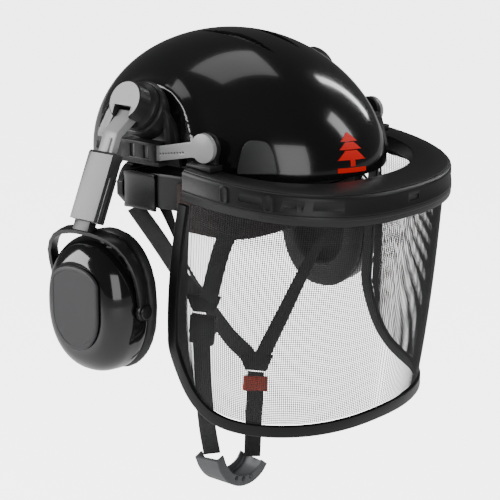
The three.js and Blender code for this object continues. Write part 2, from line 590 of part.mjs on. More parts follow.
// Rings round the cup's axis: profile of [radius, x], radius 1 being the cup's rim.
function cupRings(profile, sides) {
  const turned = new THREE.LatheGeometry(profile.map(([r, x]) => new THREE.Vector2(r, x)),
    sides).rotateZ(-Math.PI / 2);
  const position = turned.getAttribute('position');
  for (let i = 0; i < position.count; i += 1) {
    const [x, y, z] = [position.getX(i), position.getY(i), position.getZ(i)];
    const radius = Math.hypot(y, z);
    const [cos, sin] = radius > 1e-6 ? [y / radius, z / radius] : [1, 0];
    position.setXYZ(i, x, CUP.y + power(cos, 2 / 2.2) * radius * CUP.halfLength,
      CUP.z + power(sin, 2 / 2.2) * radius * CUP.halfHeight);
  }
  return turned;
}
addPair('ear_cup', cupRings([
  [0, 187], [0.64, 187], [0.82, 181.5], [0.94, 174], [0.99, 164], [1, 149.3],
  [0.94, 149.3], [0.93, 164], [0.88, 172.5], [0.76, 179], [0.6, 184], [0, 184],
], 20), glossBlack, LIFTED);

function cupPlatePiece() {
  const shield = new THREE.Shape();
  shield.moveTo(0, 34);
  shield.bezierCurveTo(14, 34, 24, 28, 26, 21);
  shield.lineTo(26, -6);
  shield.bezierCurveTo(26, -24, 14, -37, 0, -37);
  shield.bezierCurveTo(-14, -37, -26, -24, -26, -6);
  shield.lineTo(-26, 21);
  shield.bezierCurveTo(-24, 28, -14, 34, 0, 34);
  const options = { depth: 1.4, bevelEnabled: true, bevelThickness: 1, bevelSize: 1, bevelOffset: -1,
    bevelSegments: 1, curveSegments: 5 };
  return new THREE.ExtrudeGeometry(shield, options).rotateX(Math.PI / 2).rotateZ(Math.PI / 2)
    .translate(CUP.faceX + 1 + GAP, CUP.y, CUP.z + 2);
}
addPair('cup_plate', cupPlatePiece(), mattBlack, LIFTED);

addPair('ear_cushion', cupRings([
  [0.58, 139], [0.6, 136.3], [0.67, 134.8], [0.9, 134.8], [1.02, 137.2], [1.07, 142], [1.03, 147.5],
  [0.97, 149], [0.62, 149], [0.58, 146], [0.58, 139],
], 20), softBlack, LIFTED);
addPair('cup_foam', cupRings([[0, 154], [0.88, 154], [0.84, 168], [0.5, 178], [0, 178]], 18), softBlack,
  LIFTED);

// ---------------------------------------------------------------- chin harness
const [right, left] = [JUNCTION.right, JUNCTION.left];
const clipFoot = (s) => [s * CLIPS.front.at[0], CLIPS.front.at[1], -13.6];
add('strap_front_right', web([clipFoot(-1), [-78, -48.5, -58], [-71, -25, -111]],
  [[-0.86, -0.5, 0], [-0.86, -0.5, 0], [-0.86, -0.5, 0]], 10), webbing);
add('strap_front_left', web([clipFoot(1), [77.5, -57, -54], [62, -33, -98], [42, -15, -152],
  [27, -4, -189]],
  [[0.86, -0.5, 0], [0.5, -0.87, 0], [0, -1, 0], [-0.3, -0.95, 0], [-0.5, -0.85, 0]], 16), webbing);
add('strap_rear_right', web([[-18, 109.4, -63.6], [-44, 54, -84], [-61, 15, -103], [-68.5, -4.5, -112]],
  [[0, 0.6, 0.8], [-0.5, 0.2, 0.6], [-0.8, 0.1, 0.2], [-0.86, -0.3, 0]], 14), webbing);
add('strap_rear_left', web([[18, 109.4, -63.6], [20, 70, -137], [23, 34, -179], [25, 14.5, -193]],
  [[0, 0.6, 0.8], [-0.3, 0.6, 0.6], [-0.5, 0.2, 0.4], [-0.6, -0.2, 0.4]], 16), webbing);

const plateAt = ([x, y, z], look, width, height, depth) => bar(
  [[x, y, z + height / 2], [x, y, z], [x, y, z - height / 2]], [look, look, look],
    chamfered(width, depth, 1), 2);
add('strap_divider_right', plateAt([right[0], right[1], right[2] - 0.5], [-0.92, -0.4, 0], 22, 9.6, 4),
  mattBlack);
add('strap_divider_left', plateAt([left[0], left[1], left[2] - 0.5], [-0.86, -0.5, 0], 22, 9.6, 4),
  mattBlack);

// The buckle's frame: across, through and down from the right-hand divider.
const buckleDown = new THREE.Vector3(2, 4.5, -28).normalize();
const buckleFace = new THREE.Vector3(-0.88, -0.47, 0).addScaledVector(buckleDown,
  0.88 * buckleDown.x + 0.47 * buckleDown.y).normalize();
const buckleSide = new THREE.Vector3().crossVectors(buckleDown, buckleFace);
const buckleOrigin = new THREE.Vector3(right[0], right[1], right[2] - 7);
const buckleBox = (w0, w1, n0, n1, l0, l1) => sweep(polygon([[w0, n0], [w1, n0], [w1, n1], [w0, n1]]),
  1, (w, n, t) =>
  buckleOrigin.clone().addScaledVector(buckleSide, w).addScaledVector(buckleFace, n)
    .addScaledVector(buckleDown, blend(l0, l1, t)));

add('buckle_female', cut(buckleBox(-11, 11, -4, 4, 2.2, 18), buckleBox(-8.8, 8.8, -2.6, 2.6, 4, 19),
  buckleBox(-12, 12, -2.6, 2.6, 5, 14)), mattBlack);
add('buckle_male', join(buckleBox(-10.5, 10.5, -3.6, 3.6, 18.4, 27),
  buckleBox(-2, 2, -2.2, 2.2, 6, 19)), mattBlack);
const prong = (s) => join(
  buckleBox(Math.min(s * 4.4, s * 8.2), Math.max(s * 4.4, s * 8.2), -2.2, 2.2, 6, 17.8),
  buckleBox(Math.min(s * 8, s * 11.4), Math.max(s * 8, s * 11.4), -2.2, 2.2, 6, 12.5),
);
add('buckle_prong_front', prong(-1), mattBlack);
add('buckle_prong_rear', prong(1), mattBlack);

const strapFoot = buckleOrigin.clone().addScaledVector(buckleDown, 28.2).toArray();
add('chin_strap_right', web([strapFoot, [-61, -9, -196], [-47, -1, -240], [-37, 2.5, -268]],
  [[-0.86, -0.5, 0], [-0.86, -0.5, 0], [-0.8, -0.5, 0], [-0.75, -0.6, 0]], 12), webbing);
add('chin_strap_left', web([[left[0], left[1], left[2] - 8], [18.5, 0.5, -245], [12, -3, -283.5]],
  [[-0.86, -0.5, 0], [-0.7, -0.6, 0], [-0.6, -0.8, 0]], 8), webbing);

const SLIDER = { width: 22, depth: 6.5, height: 13 };
function sliderPiece() {
  const foot = new THREE.Vector3(23.6, 2.8, left[2] - 17.2);
  const down = new THREE.Vector3(-5.5, -3.1, -36).normalize();
  const ends = [-1, 0, 1].map((k) => foot.clone().addScaledVector(down, (k * SLIDER.height) / 2).toArray());
  const look = [-0.82, -0.55, 0];
  const body = bar(ends, [look, look, look], chamfered(SLIDER.width, SLIDER.depth, 1.5), 2);
  const longer = [-1, 0, 1].map((k) => foot.clone().addScaledVector(down, k * SLIDER.height).toArray());
  return cut(body, bar(longer, [look, look, look], chamfered(WEB.width + 2, WEB.thickness + 1.8, 0.3), 2));
}
add('strap_slider', sliderPiece(), orange);

function chinCupPiece() {
  const points = [[-41, 5, -272.5], [-37, 4, -283], [-28, 3, -294], [-14, 1.5, -300.5], [0, -1, -299.5],
    [10, -3, -293.5], [15.5, -4, -286]];
  const section = polygon([
    [-14, -1.5], [14, -1.5], [14, 8], [11.8, 8], [11.8, 1.5], [-11.8, 1.5], [-11.8, 8], [-14, 8],
  ]);
  const looks = points.map(([x, , z]) => [-13 - x, 0, -262 - z]);
  const trough = bar(points, looks, section, 16);
  const holes = [[-20, -293], [-12, -295.5], [-4, -295]].map(([x, z]) => rodY(-40, 0, x, z, 2.1, 8));
  return cut(trough, ...holes);
}
add('chin_cup', chinCupPiece(), rubber);

export default helmet;
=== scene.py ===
"""Forestry helmet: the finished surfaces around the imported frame. Metres, +Z up, the wearer looks to -Y."""
import json
import math
from math import cos, pi, radians, sin

import bpy
from mathutils import Matrix, Vector


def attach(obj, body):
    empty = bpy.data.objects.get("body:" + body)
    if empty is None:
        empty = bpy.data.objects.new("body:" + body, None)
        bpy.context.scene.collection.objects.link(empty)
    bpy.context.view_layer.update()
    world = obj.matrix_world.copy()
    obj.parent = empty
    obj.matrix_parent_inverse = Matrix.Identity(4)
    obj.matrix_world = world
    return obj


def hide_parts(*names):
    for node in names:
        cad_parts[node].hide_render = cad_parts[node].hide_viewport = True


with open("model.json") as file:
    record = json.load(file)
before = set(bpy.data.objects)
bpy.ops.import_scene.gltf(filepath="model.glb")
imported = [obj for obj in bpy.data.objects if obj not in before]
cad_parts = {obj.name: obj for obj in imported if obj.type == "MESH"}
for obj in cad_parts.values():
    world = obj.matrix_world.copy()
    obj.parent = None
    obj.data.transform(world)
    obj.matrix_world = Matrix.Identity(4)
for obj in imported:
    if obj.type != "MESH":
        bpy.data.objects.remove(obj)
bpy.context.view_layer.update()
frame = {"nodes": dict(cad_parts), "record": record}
MM = 0.001

# ---------------------------------------------------------------- camera, lights and floor
# A long lens looks down a little on the wearer's right front. Two large soft boxes and a top light
# stand round the helmet, and it hangs over a plain pale floor.
CAMERA_AZIMUTH = radians(-50)
CAMERA_ELEVATION = radians(14.5)
CAMERA_DISTANCE = 1.7
CAMERA_ASIDE = 0.008
CAMERA_LOWERED = 0.086

to_camera = Vector((sin(CAMERA_AZIMUTH) * cos(CAMERA_ELEVATION),
                    -cos(CAMERA_AZIMUTH) * cos(CAMERA_ELEVATION), sin(CAMERA_ELEVATION)))
camera_right = Vector((cos(CAMERA_AZIMUTH), sin(CAMERA_AZIMUTH), 0))
camera_up = to_camera.cross(camera_right)
camera_data = bpy.data.cameras.new("camera")
camera_data.lens = 141.4
camera_data.sensor_width = 36
camera = bpy.data.objects.new("camera", camera_data)
camera.matrix_world = Matrix.Translation(
    to_camera * CAMERA_DISTANCE + camera_right * CAMERA_ASIDE - camera_up * CAMERA_LOWERED,
) @ Matrix((camera_right, camera_up, to_camera)).transposed().to_4x4()
bpy.context.scene.collection.objects.link(camera)
bpy.context.scene.camera = camera


def soft_box(name, direction, distance, width, height, power):
    light = bpy.data.lights.new(name, "AREA")
    light.shape = "RECTANGLE"
    light.size = width
    light.size_y = height
    light.energy = power
    lamp = bpy.data.objects.new(name, light)
    place = Vector(direction).normalized() * distance
    lamp.location = place + Vector((0, 0, -0.05))
    lamp.rotation_euler = place.to_track_quat("Z", "Y").to_euler()
    bpy.context.scene.collection.objects.link(lamp)


soft_box("box_front_left", (0.62, -0.70, 0.62), 1.7, 0.35, 0.6, 4)
soft_box("box_right_rear", (-0.72, 0.62, 0.34), 1.6, 0.9, 1.1, 30)
soft_box("box_top", (0.1, 0.25, 1), 1.8, 1.3, 0.8, 5)
soft_box("box_face", (-0.45, -0.80, 0.22), 2.2, 1.1, 1.3, 14)
soft_box("box_streak", (0.86, -0.08, 0.50), 1.5, 0.12, 0.8, 4)

BACKDROP = 4  # brightness that only the camera sees, in world and floor

world = bpy.data.worlds.new("studio")
world.use_nodes = True
bpy.context.scene.world = world
sky_nodes = world.node_tree.nodes
sky = sky_nodes["Background"]
seen_sky = sky_nodes.new("ShaderNodeLightPath")
sky_level = sky_nodes.new("ShaderNodeMapRange")
sky_level.inputs["To Min"].default_value = 0.4
sky_level.inputs["To Max"].default_value = 0.08
world.node_tree.links.new(seen_sky.outputs["Is Glossy Ray"], sky_level.inputs["Value"])
sky_backdrop = sky_nodes.new("ShaderNodeMath")
sky_backdrop.operation = "MULTIPLY_ADD"
sky_backdrop.inputs[1].default_value = BACKDROP
world.node_tree.links.new(seen_sky.outputs["Is Camera Ray"], sky_backdrop.inputs[0])
world.node_tree.links.new(sky_level.outputs["Result"], sky_backdrop.inputs[2])
world.node_tree.links.new(sky_backdrop.outputs[0], sky.inputs["Strength"])
sky.inputs["Color"].default_value = (1, 1, 1, 1)

FLOOR_Z = -0.5
bpy.ops.object.select_all(action="DESELECT")
bpy.ops.mesh.primitive_plane_add(size=40, location=(0, 0, FLOOR_Z))
floor = bpy.context.object
floor.name = "floor"
floor_paint = bpy.data.materials.new("pale_floor")
floor_paint.use_nodes = True
floor_shader = floor_paint.node_tree.nodes["Principled BSDF"]
floor_shader.inputs["Base Color"].default_value = (0.93, 0.93, 0.93, 1)
floor_shader.inputs["Roughness"].default_value = 0.9
floor_shader.inputs["Specular IOR Level"].default_value = 0.1
floor_seen = floor_paint.node_tree.nodes.new("ShaderNodeLightPath")
floor_glow = floor_paint.node_tree.nodes.new("ShaderNodeMath")
floor_glow.operation = "MULTIPLY"
floor_glow.inputs[1].default_value = BACKDROP
floor_paint.node_tree.links.new(floor_seen.outputs["Is Camera Ray"], floor_glow.inputs[0])
floor_shader.inputs["Emission Color"].default_value = (1, 1, 1, 1)
floor_paint.node_tree.links.new(floor_glow.outputs[0], floor_shader.inputs["Emission Strength"])
floor.data.materials.append(floor_paint)

# ---------------------------------------------------------------- helmet shell
# One moulding of high-gloss ABS: a raked dome with two flat-floored side bays under raised arches,
# two lens-shaped crown vents and a wavy lower rim. The wall is 3 mm thick.
SHELL = {"half_width": 108, "front": 133, "rear": 138, "height": 106, "centre_y": 8, "wall": 3, "skirt": 22}
BAY = {"floor_x": 98, "centre_y": 20, "half_length": 58, "top": 66}
ARCH_HEIGHT = 4.6


def only(piece):
    bpy.ops.object.select_all(action="DESELECT")
    piece.select_set(True)
    bpy.context.view_layer.objects.active = piece


def applied(piece, kind, **settings):
    """Adds a modifier to a piece and applies it."""
    only(piece)
    modifier = piece.modifiers.new(kind.lower(), kind)
    for key, value in settings.items():
        setattr(modifier, key, value)
    bpy.ops.object.modifier_apply(modifier=modifier.name)
    return piece


def cleaned(piece):
    """Merges doubles, closes open ends and turns the faces outwards."""
    only(piece)
    bpy.ops.object.mode_set(mode="EDIT")
    bpy.ops.mesh.select_all(action="SELECT")
    bpy.ops.mesh.remove_doubles(threshold=2e-6)
    bpy.ops.mesh.fill_holes(sides=0)
    bpy.ops.mesh.normals_make_consistent(inside=False)
    bpy.ops.object.mode_set(mode="OBJECT")
    return piece


def swept(name, section, steps, place, sizes=None):
    """Rolls a grid into a closed bar: section is a loop of (u, v), and place(u, v, t) gives a point in mm."""
    sides = len(section)
    bpy.ops.object.select_all(action="DESELECT")
    bpy.ops.mesh.primitive_grid_add(x_subdivisions=steps, y_subdivisions=sides, size=1)
    piece = bpy.context.object
    piece.name = name
    for vertex in piece.data.vertices:
        t = vertex.co.x + 0.5
        u, v = section[round((vertex.co.y + 0.5) * sides) % sides]
        vertex.co = Vector(place(u, v, min(max(t, 0), 1))) * MM
    if sizes:
        for corner in piece.data.uv_layers.active.data:
            corner.uv = (corner.uv[0] * sizes[0], corner.uv[1] * sizes[1])
    return cleaned(piece)


def smoothed(piece, angle=35):
    only(piece)
    bpy.ops.object.shade_smooth_by_angle(angle=radians(angle))
    return piece


def bevelled(piece, width, segments=2, angle=32):
    applied(piece, "BEVEL", width=width * MM, segments=segments, limit_method="ANGLE",
            angle_limit=radians(angle), miter_outer="MITER_ARC", harden_normals=False)
    return smoothed(piece)


def combined(piece, tool, operation="DIFFERENCE"):
    """Cuts or joins with another solid, which is used up."""
    applied(piece, "BOOLEAN", object=tool, operation=operation, solver="EXACT")
    bpy.data.objects.remove(tool)
    return piece


def cubic(p0, p1, p2, p3, count=12):
    """Points of a curve stretch after its first end."""
    points = []
    for i in range(1, count + 1):
        t = i / count
        weights = ((1 - t) ** 3, 3 * t * (1 - t) ** 2, 3 * t * t * (1 - t), t ** 3)
        points.append(tuple(sum(w * p[k] for w, p in zip(weights, (p0, p1, p2, p3))) for k in (0, 1)))
    return points


def mix(a, b, t):
    return a + (b - a) * t


def ease(t):
    t = min(max(t, 0), 1)
    return t * t * (3 - 2 * t)


def power(value, exponent):
    return math.copysign(abs(value) ** exponent, value)


def dome_point(turn, radius, height, inset=0):
    """The unit dome stretched to the shell: height 0 to 1 is the dome, 0 to -1 the skirt."""
    c, s = cos(turn), sin(turn)
    fullness = mix(2.05, 1.82 if s < 0 else 2.0, s * s)
    reach = max(1 - height * height, 0) ** (1 / fullness) if height >= 0 else radius
    rise = height ** (2 / fullness) * (SHELL["height"] - inset) if height >= 0 else height * SHELL["skirt"]
    length = (SHELL["front"] + SHELL["centre_y"] if s < 0 else SHELL["rear"] - SHELL["centre_y"]) - inset
    return (power(c, 2 / 2.1) * reach * (SHELL["half_width"] - inset),
            power(s, 2 / 2.1) * reach * length + SHELL["centre_y"], rise)


def bay_outline(grow, count=24):
    middle, half, top = BAY["centre_y"], BAY["half_length"] + grow, BAY["top"] + grow
    points = [(middle - half, -40), (middle + half, -40), (middle + half, 8)]
    points += cubic((middle + half, 8), (middle + half, BAY["top"] * 0.62), (middle + 36, top),
        (middle, top), count)
    points += cubic((middle, top), (middle - 32, top), (middle - half, BAY["top"] * 0.66),
        (middle - half, 8), count)
    return points


arch_line = bay_outline(0)[2:]


def arch_inset(point):
    """The raised arch beside the bay: a smooth ridge over its edge, rolled off across the dome."""
    x, y, z = point
    if abs(x) < 55 or z < -12:
        return 0
    gap = min(math.hypot(y - a, z - b) for a, b in arch_line)
    return -ARCH_HEIGHT * math.exp(-(gap / 5.5) ** 2)


def dome_solid(name, segments, rings, inset, shaped=False):
    profile = [(sin(pi / 2 * i / rings), cos(pi / 2 * i / rings)) for i in range(rings)]
    profile += [(1, -k / 6) for k in range(7)]
    rows = [(r, h, i) for i, (r, h) in enumerate(profile)]

    def place(u, v, t):
        r, h, _ = rows[round(t * (len(rows) - 1))]
        point = dome_point(u, r, max(h, -1), inset)
        return dome_point(u, r, max(h, -1), inset + arch_inset(point)) if shaped else point
    return swept(name, [(2 * pi * i / segments, 0) for i in range(segments)], len(rows) - 1, place)


shell = dome_solid("helmet_shell_gloss", 288, 84, 0, shaped=True)
combined(shell, dome_solid("inner_dome", 72, 20, SHELL["wall"]))
for side in (-1, 1):
    floor_x = BAY["floor_x"]
    bay = swept("bay", bay_outline(0), 1, lambda y, z, t: (side * mix(floor_x, 140, t), y, z))
    wall = swept("bay_wall", bay_outline(2.8), 1,
                 lambda y, z, t: (side * mix(floor_x - SHELL["wall"], 108 - 2.5, t), y, z))
    combined(wall, dome_solid("outer_copy", 96, 28, 0.6), "INTERSECT")
    combined(shell, wall, "UNION")
    combined(shell, bay)
rim = [(-160, -3), (-70, -1)] + cubic((-70, -1), (-40, 0), (-35, 4), (-10, 4)) + [(22, 4)]
rim += cubic((22, 4), (50, 4), (70, -10), (100, -13)) + [(160, -15), (160, -60), (-160, -60)]
combined(shell, swept("rim_cut", rim, 1, lambda y, z, t: (mix(-140, 140, t), y, z)))
vent = [(-52, 0)] + cubic((-52, 0), (-24, 7.4), (4, 7.4), (32, 0), 14)
vent += cubic((32, 0), (4, -6), (-24, -6), (-52, 0), 14)[:-1]
for side in (-1, 1):
    combined(shell, swept("vent", vent, 1, lambda u, v, t: (side * (17 + v), u, 70 + 60 * t)))
smoothed(shell, 28)


def node_group(name, inputs, outputs):
    """An empty shader group with named inputs (label, kind, value) and outputs (label, kind)."""
    group = bpy.data.node_groups.new(name, "ShaderNodeTree")
    for label, kind, value in inputs:
        group.interface.new_socket(label, in_out="INPUT", socket_type=kind).default_value = value
    for label, kind in outputs:
        group.interface.new_socket(label, in_out="OUTPUT", socket_type=kind)
    return group, group.nodes.new("NodeGroupInput"), group.nodes.new("NodeGroupOutput")


def linked_node(tree, kind, links, **settings):
    """Adds a node, with links {input: (node, output)} and other inputs or properties by name."""
    node = tree.nodes.new(kind)
    for key, value in settings.items():
        if key in node.inputs:
            node.inputs[key].default_value = value
        else:
            setattr(node, key, value)
    for key, (source, output) in links.items():
        tree.links.new(source.outputs[output], node.inputs[key])
    return node


# Moulded plastic: a fine grain, a slow drift of colour, and dull handling marks in the gloss.
moulding, given, out = node_group(
    "moulded_surface",
    [("Colour", "NodeSocketColor", (0.02, 0.02, 0.02, 1)), ("Roughness", "NodeSocketFloat", 0.3),
     ("Grain Scale", "NodeSocketFloat", 900.0), ("Marks", "NodeSocketFloat", 0.1)],
    [("Colour", "NodeSocketColor"), ("Roughness", "NodeSocketFloat"), ("Height", "NodeSocketFloat")])
place = linked_node(moulding, "ShaderNodeTexCoord", {})
grain = linked_node(moulding, "ShaderNodeTexNoise",
    {"Vector": (place, "Object"), "Scale": (given, "Grain Scale")},
                    Detail=3.0, Roughness=0.6)
drift = linked_node(moulding, "ShaderNodeTexNoise", {"Vector": (place, "Object")}, Scale=14.0, Detail=3.0)
marks = linked_node(moulding, "ShaderNodeTexNoise", {"Vector": (place, "Object")}, Scale=55.0, Detail=5.0,
                    Distortion=1.2)
shade = linked_node(moulding, "ShaderNodeMapRange", {"Value": (drift, "Fac")})
shade.inputs["To Min"].default_value = 0.82
shade.inputs["To Max"].default_value = 1.18
tinted = linked_node(moulding, "ShaderNodeVectorMath", {0: (given, "Colour"), "Scale": (shade, "Result")},
                     operation="SCALE")
swing = linked_node(moulding, "ShaderNodeMath", {0: (marks, "Fac")}, operation="SUBTRACT")
swing.inputs[1].default_value = 0.5
dulled = linked_node(moulding, "ShaderNodeMath",
    {0: (swing, 0), 1: (given, "Marks"), 2: (given, "Roughness")},
                     operation="MULTIPLY_ADD")
moulding.links.new(tinted.outputs["Vector"], out.inputs["Colour"])
moulding.links.new(dulled.outputs[0], out.inputs["Roughness"])
moulding.links.new(grain.outputs["Fac"], out.inputs["Height"])


def plastic(name, colour, roughness, grain_depth=0.00002, grain_scale=900, marks=0.12, coat=0.0,
    specular=0.5):
    """A moulded plastic or rubber; grain_depth is the height of its grain in metres."""
    material = bpy.data.materials.new(name)
    material.use_nodes = True
    tree = material.node_tree
    surface = tree.nodes["Principled BSDF"]
    group = linked_node(tree, "ShaderNodeGroup", {}, node_tree=moulding)
    group.inputs["Colour"].default_value = (*colour, 1)
    group.inputs["Roughness"].default_value = roughness
    group.inputs["Grain Scale"].default_value = grain_scale
    group.inputs["Marks"].default_value = marks
    bump = linked_node(tree, "ShaderNodeBump", {"Height": (group, "Height")}, Strength=1.0,
        Distance=grain_depth)
    tree.links.new(group.outputs["Colour"], surface.inputs["Base Color"])
    tree.links.new(group.outputs["Roughness"], surface.inputs["Roughness"])
    tree.links.new(bump.outputs["Normal"], surface.inputs["Normal"])
    surface.inputs["Coat Weight"].default_value = coat
    surface.inputs["Coat Roughness"].default_value = 0.04
    surface.inputs["Specular IOR Level"].default_value = specular
    return material


body_of_node = {node: body for body, nodes in frame["record"]["behaviour"]["bodies"].items()
                for node in nodes}


def settled(piece, material, slot, *nodes, body=None):
    """Gives a finished piece its material, the body that it rides on and the nodes that it stands for."""
    piece.data.materials.clear()
    piece.data.materials.append(material)
    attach(piece, body or body_of_node[nodes[0]])
    if nodes:
        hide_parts(*nodes)
    return piece


gloss_black = plastic("gloss_black_abs", (0.006, 0.006, 0.0065), 0.16, 0.000004, 400, 0.05, coat=0.4,
    specular=0.4)
settled(shell, gloss_black, "gloss_shell", "helmet_shell")

# ---------------------------------------------------------------- emblem on the shell's front
# A thin red vinyl sticker: a plain conifer of three tiers on a bar, cut out and pressed onto the gloss.
EMBLEM = {"middle": (-12.5, 17), "width": 24, "height": 29, "lean": radians(4)}


def on_shell_front(across, up, lift):
    x = EMBLEM["middle"][0] + across * cos(EMBLEM["lean"]) + up * sin(EMBLEM["lean"])
    z = EMBLEM["middle"][1] + up * cos(EMBLEM["lean"]) - across * sin(EMBLEM["lean"])
    _, point, normal, _ = shell.ray_cast(Vector((x, -220, z)) * MM, Vector((0, 1, 0)))
    return point + normal * lift * MM


emblem_parts = [(-15.5, -11.6, 16, 16), (-10.6, -5.4, 2.8, 2.8)]
emblem_parts += [(-5.4, 2.2, 15.6, 6.4), (2.9, 8.6, 12.4, 4.8), (9.3, 16.4, 9.2, 0.6)]
stickers = []
for low, high, half_low, half_high in emblem_parts:
    bpy.ops.object.select_all(action="DESELECT")
    bpy.ops.mesh.primitive_grid_add(x_subdivisions=14, y_subdivisions=5, size=2)
    tier = bpy.context.object
    for vertex in tier.data.vertices:
        up = (vertex.co.y + 1) / 2
        vertex.co = on_shell_front(vertex.co.x * mix(half_low, half_high, up), mix(low, high, up), 0.12)
    stickers.append(tier)
bpy.ops.object.select_all(action="DESELECT")
for tier in stickers:
    tier.select_set(True)
bpy.context.view_layer.objects.active = stickers[0]
bpy.ops.object.join()
emblem = bpy.context.object
emblem.name = "emblem_sticker"
only(emblem)
bpy.ops.object.mode_set(mode="EDIT")
bpy.ops.mesh.select_all(action="SELECT")
bpy.ops.mesh.normals_make_consistent(inside=False)
bpy.ops.object.mode_set(mode="OBJECT")
if sum(face.normal.y for face in emblem.data.polygons) > 0:
    emblem.data.flip_normals()
applied(emblem, "SOLIDIFY", thickness=0.12 * MM, offset=1)
smoothed(emblem)
settled(emblem, plastic("red_vinyl", (0.75, 0.010, 0.004), 0.4, 0.000004, 700, 0.1, specular=0.25),
    "slider_plastic", body="helmet")

# ---------------------------------------------------------------- head cradle
# A polyethylene headband with a nape band behind it, set by a ratchet knob. Two textile straps cross
# under the crown and end in clips that stand in the shell's sockets.
HEAD = {"half_width": 84, "front": 101, "rear": 106, "centre_y": 3}


def head_point(degrees, offset):
    s, c = sin(radians(degrees)), cos(radians(degrees))
    length = HEAD["front"] + HEAD["centre_y"] if c > 0 else HEAD["rear"] - HEAD["centre_y"]
    away = Vector((s / HEAD["half_width"], -c / length, 0)).normalized()
    return Vector((HEAD["half_width"] * s, HEAD["centre_y"] - length * c, 0)) + away * offset


def band_piece(name, section, start, end, steps, lower, upper):
    def place(u, v, t):
        degrees = mix(start, end, t)
        point = head_point(degrees, u)
        return (point.x, point.y, mix(lower(degrees), upper(degrees), v))
    return swept(name, section, steps, place)


def band_section(inner, outer, bead=0.0):
    """A strip with rounded edges, and a bead of that height along both of them."""
    return [(inner + 0.4, 0), (outer - 0.4 + bead, 0), (outer + bead, 0.03), (outer + bead, 0.09),
        (outer, 0.14),
            (outer, 0.86), (outer + bead, 0.91), (outer + bead, 0.97), (outer - 0.4 + bead, 1),
            (inner + 0.4, 1),
            (inner, 0.97), (inner, 0.03)]


def rearward(degrees):
    return ease((abs(degrees) - 87) / 73)


def nape(degrees):
    return ease(abs(degrees - 180) / 80)


satin_black = plastic("satin_black_pe", (0.012, 0.012, 0.0125), 0.38, 0.00002, 1100, specular=0.28)
headband = band_piece("headband_strip", band_section(0, 2), -152, 152, 150,
                      lambda d: mix(-38, -50, rearward(d)), lambda d: mix(-8, -24, rearward(d)))
settled(smoothed(headband), satin_black, "cradle_plastic", "headband")
nape_gloss = plastic("polished_black_pe", (0.01, 0.01, 0.0105), 0.24, 0.000006, 500, 0.08, specular=0.15)
nape_band = band_piece("nape_band_strip", band_section(2.4, 4.4, 0.6), 100, 260, 120,
                       lambda d: mix(-62, -42, nape(d)), lambda d: mix(-30, -10, nape(d)))
settled(smoothed(nape_band), nape_gloss, "gloss_band", "nape_band")


def rounded(node, width, material, slot, segments=2, angle=32, name=None):
    """A machined-looking copy of a frame piece: merged, its flat faces joined and its edges rounded."""
    piece = frame["nodes"][node].copy()
    piece.data = piece.data.copy()
    piece.name = name or node + "_moulding"
    piece.parent = None
    for key in list(piece.keys()):
        del piece[key]
    bpy.context.scene.collection.objects.link(piece)
    only(piece)
    bpy.ops.object.mode_set(mode="EDIT")
    bpy.ops.mesh.select_all(action="SELECT")
    bpy.ops.mesh.remove_doubles(threshold=1e-5)
    bpy.ops.mesh.dissolve_limited(angle_limit=radians(1.5))
    bpy.ops.mesh.normals_make_consistent(inside=False)
    bpy.ops.object.mode_set(mode="OBJECT")
    bevelled(piece, width, segments, angle)
    return settled(piece, material, slot, node)


for node in ("ratchet_housing", "ratchet_knob"):
    rounded(node, 0.7, satin_black, "cradle_plastic")
for end in ("front", "rear"):
    for hand in ("right", "left"):
        rounded(f"cradle_clip_{end}_{hand}", 0.5, satin_black, "cradle_plastic")

# ---------------------------------------------------------------- side carriers
# Glass-filled nylon mouldings that snap into the bays: a plate with a round boss for the muff's
# hub, and a toothed channel in which the visor's arm is set.
carrier_grey = plastic("nylon_charcoal", (0.02, 0.02, 0.021), 0.34, 0.00003, 1300, 0.15, specular=0.28)
for hand in ("right", "left"):
    rounded(f"muff_carrier_{hand}", 0.6, carrier_grey, "matt_carrier")

# ---------------------------------------------------------------- temple covers
# Fine-grained ABS caps over the front accessory sockets: rounded trapeziums with a soft edge.
PLUG = {"at": (80.5, -85, 17), "turn": -38, "tip": -9, "size": 0.74}
plug_outline = [(-19, -14), (17, -14)] + cubic((17, -14), (19, -14), (20, -12), (19.5, -10), 6)
plug_outline += cubic((19.5, -10), (17, 4), (14, 15), (8, 17), 10) + cubic((8, 17), (2, 18), (-6, 17),
    (-9, 16), 8)
plug_outline += cubic((-9, 16), (-15, 14), (-20, -2), (-20.5, -11), 10)
plug_outline += cubic((-20.5, -11), (-21, -13), (-20.5, -14), (-19, -14), 4)[:-1]


def plug_place(side):
    turn = Matrix.Rotation(radians(90 + PLUG["turn"]), 3,
        "Z") @ Matrix.Rotation(pi / 2 + radians(PLUG["tip"]), 3, "X")

    def place(u, v, t):
        grow = 1 + 1.5 / 20
        point = turn @ Vector((u * PLUG["size"] * grow, v * PLUG["size"] * 1.08 * grow, mix(-1.6, 5, t)))
        point += Vector(PLUG["at"])
        return (side * point.x, point.y, point.z)
    return place


plug_grey = plastic("grained_grey_abs", (0.028, 0.029, 0.03), 0.42, 0.00005, 1500, 0.12)
for hand, side in (("right", -1), ("left", 1)):
    cover = swept(f"plug_cover_cap_{hand}", plug_outline, 1, plug_place(side))
    combined(cover, dome_solid("under_cover", 128, 40, -0.3))
    bevelled(cover, 1.5, 4, 40)
    settled(cover, plug_grey, "plug_plastic", f"plug_cover_{hand}")

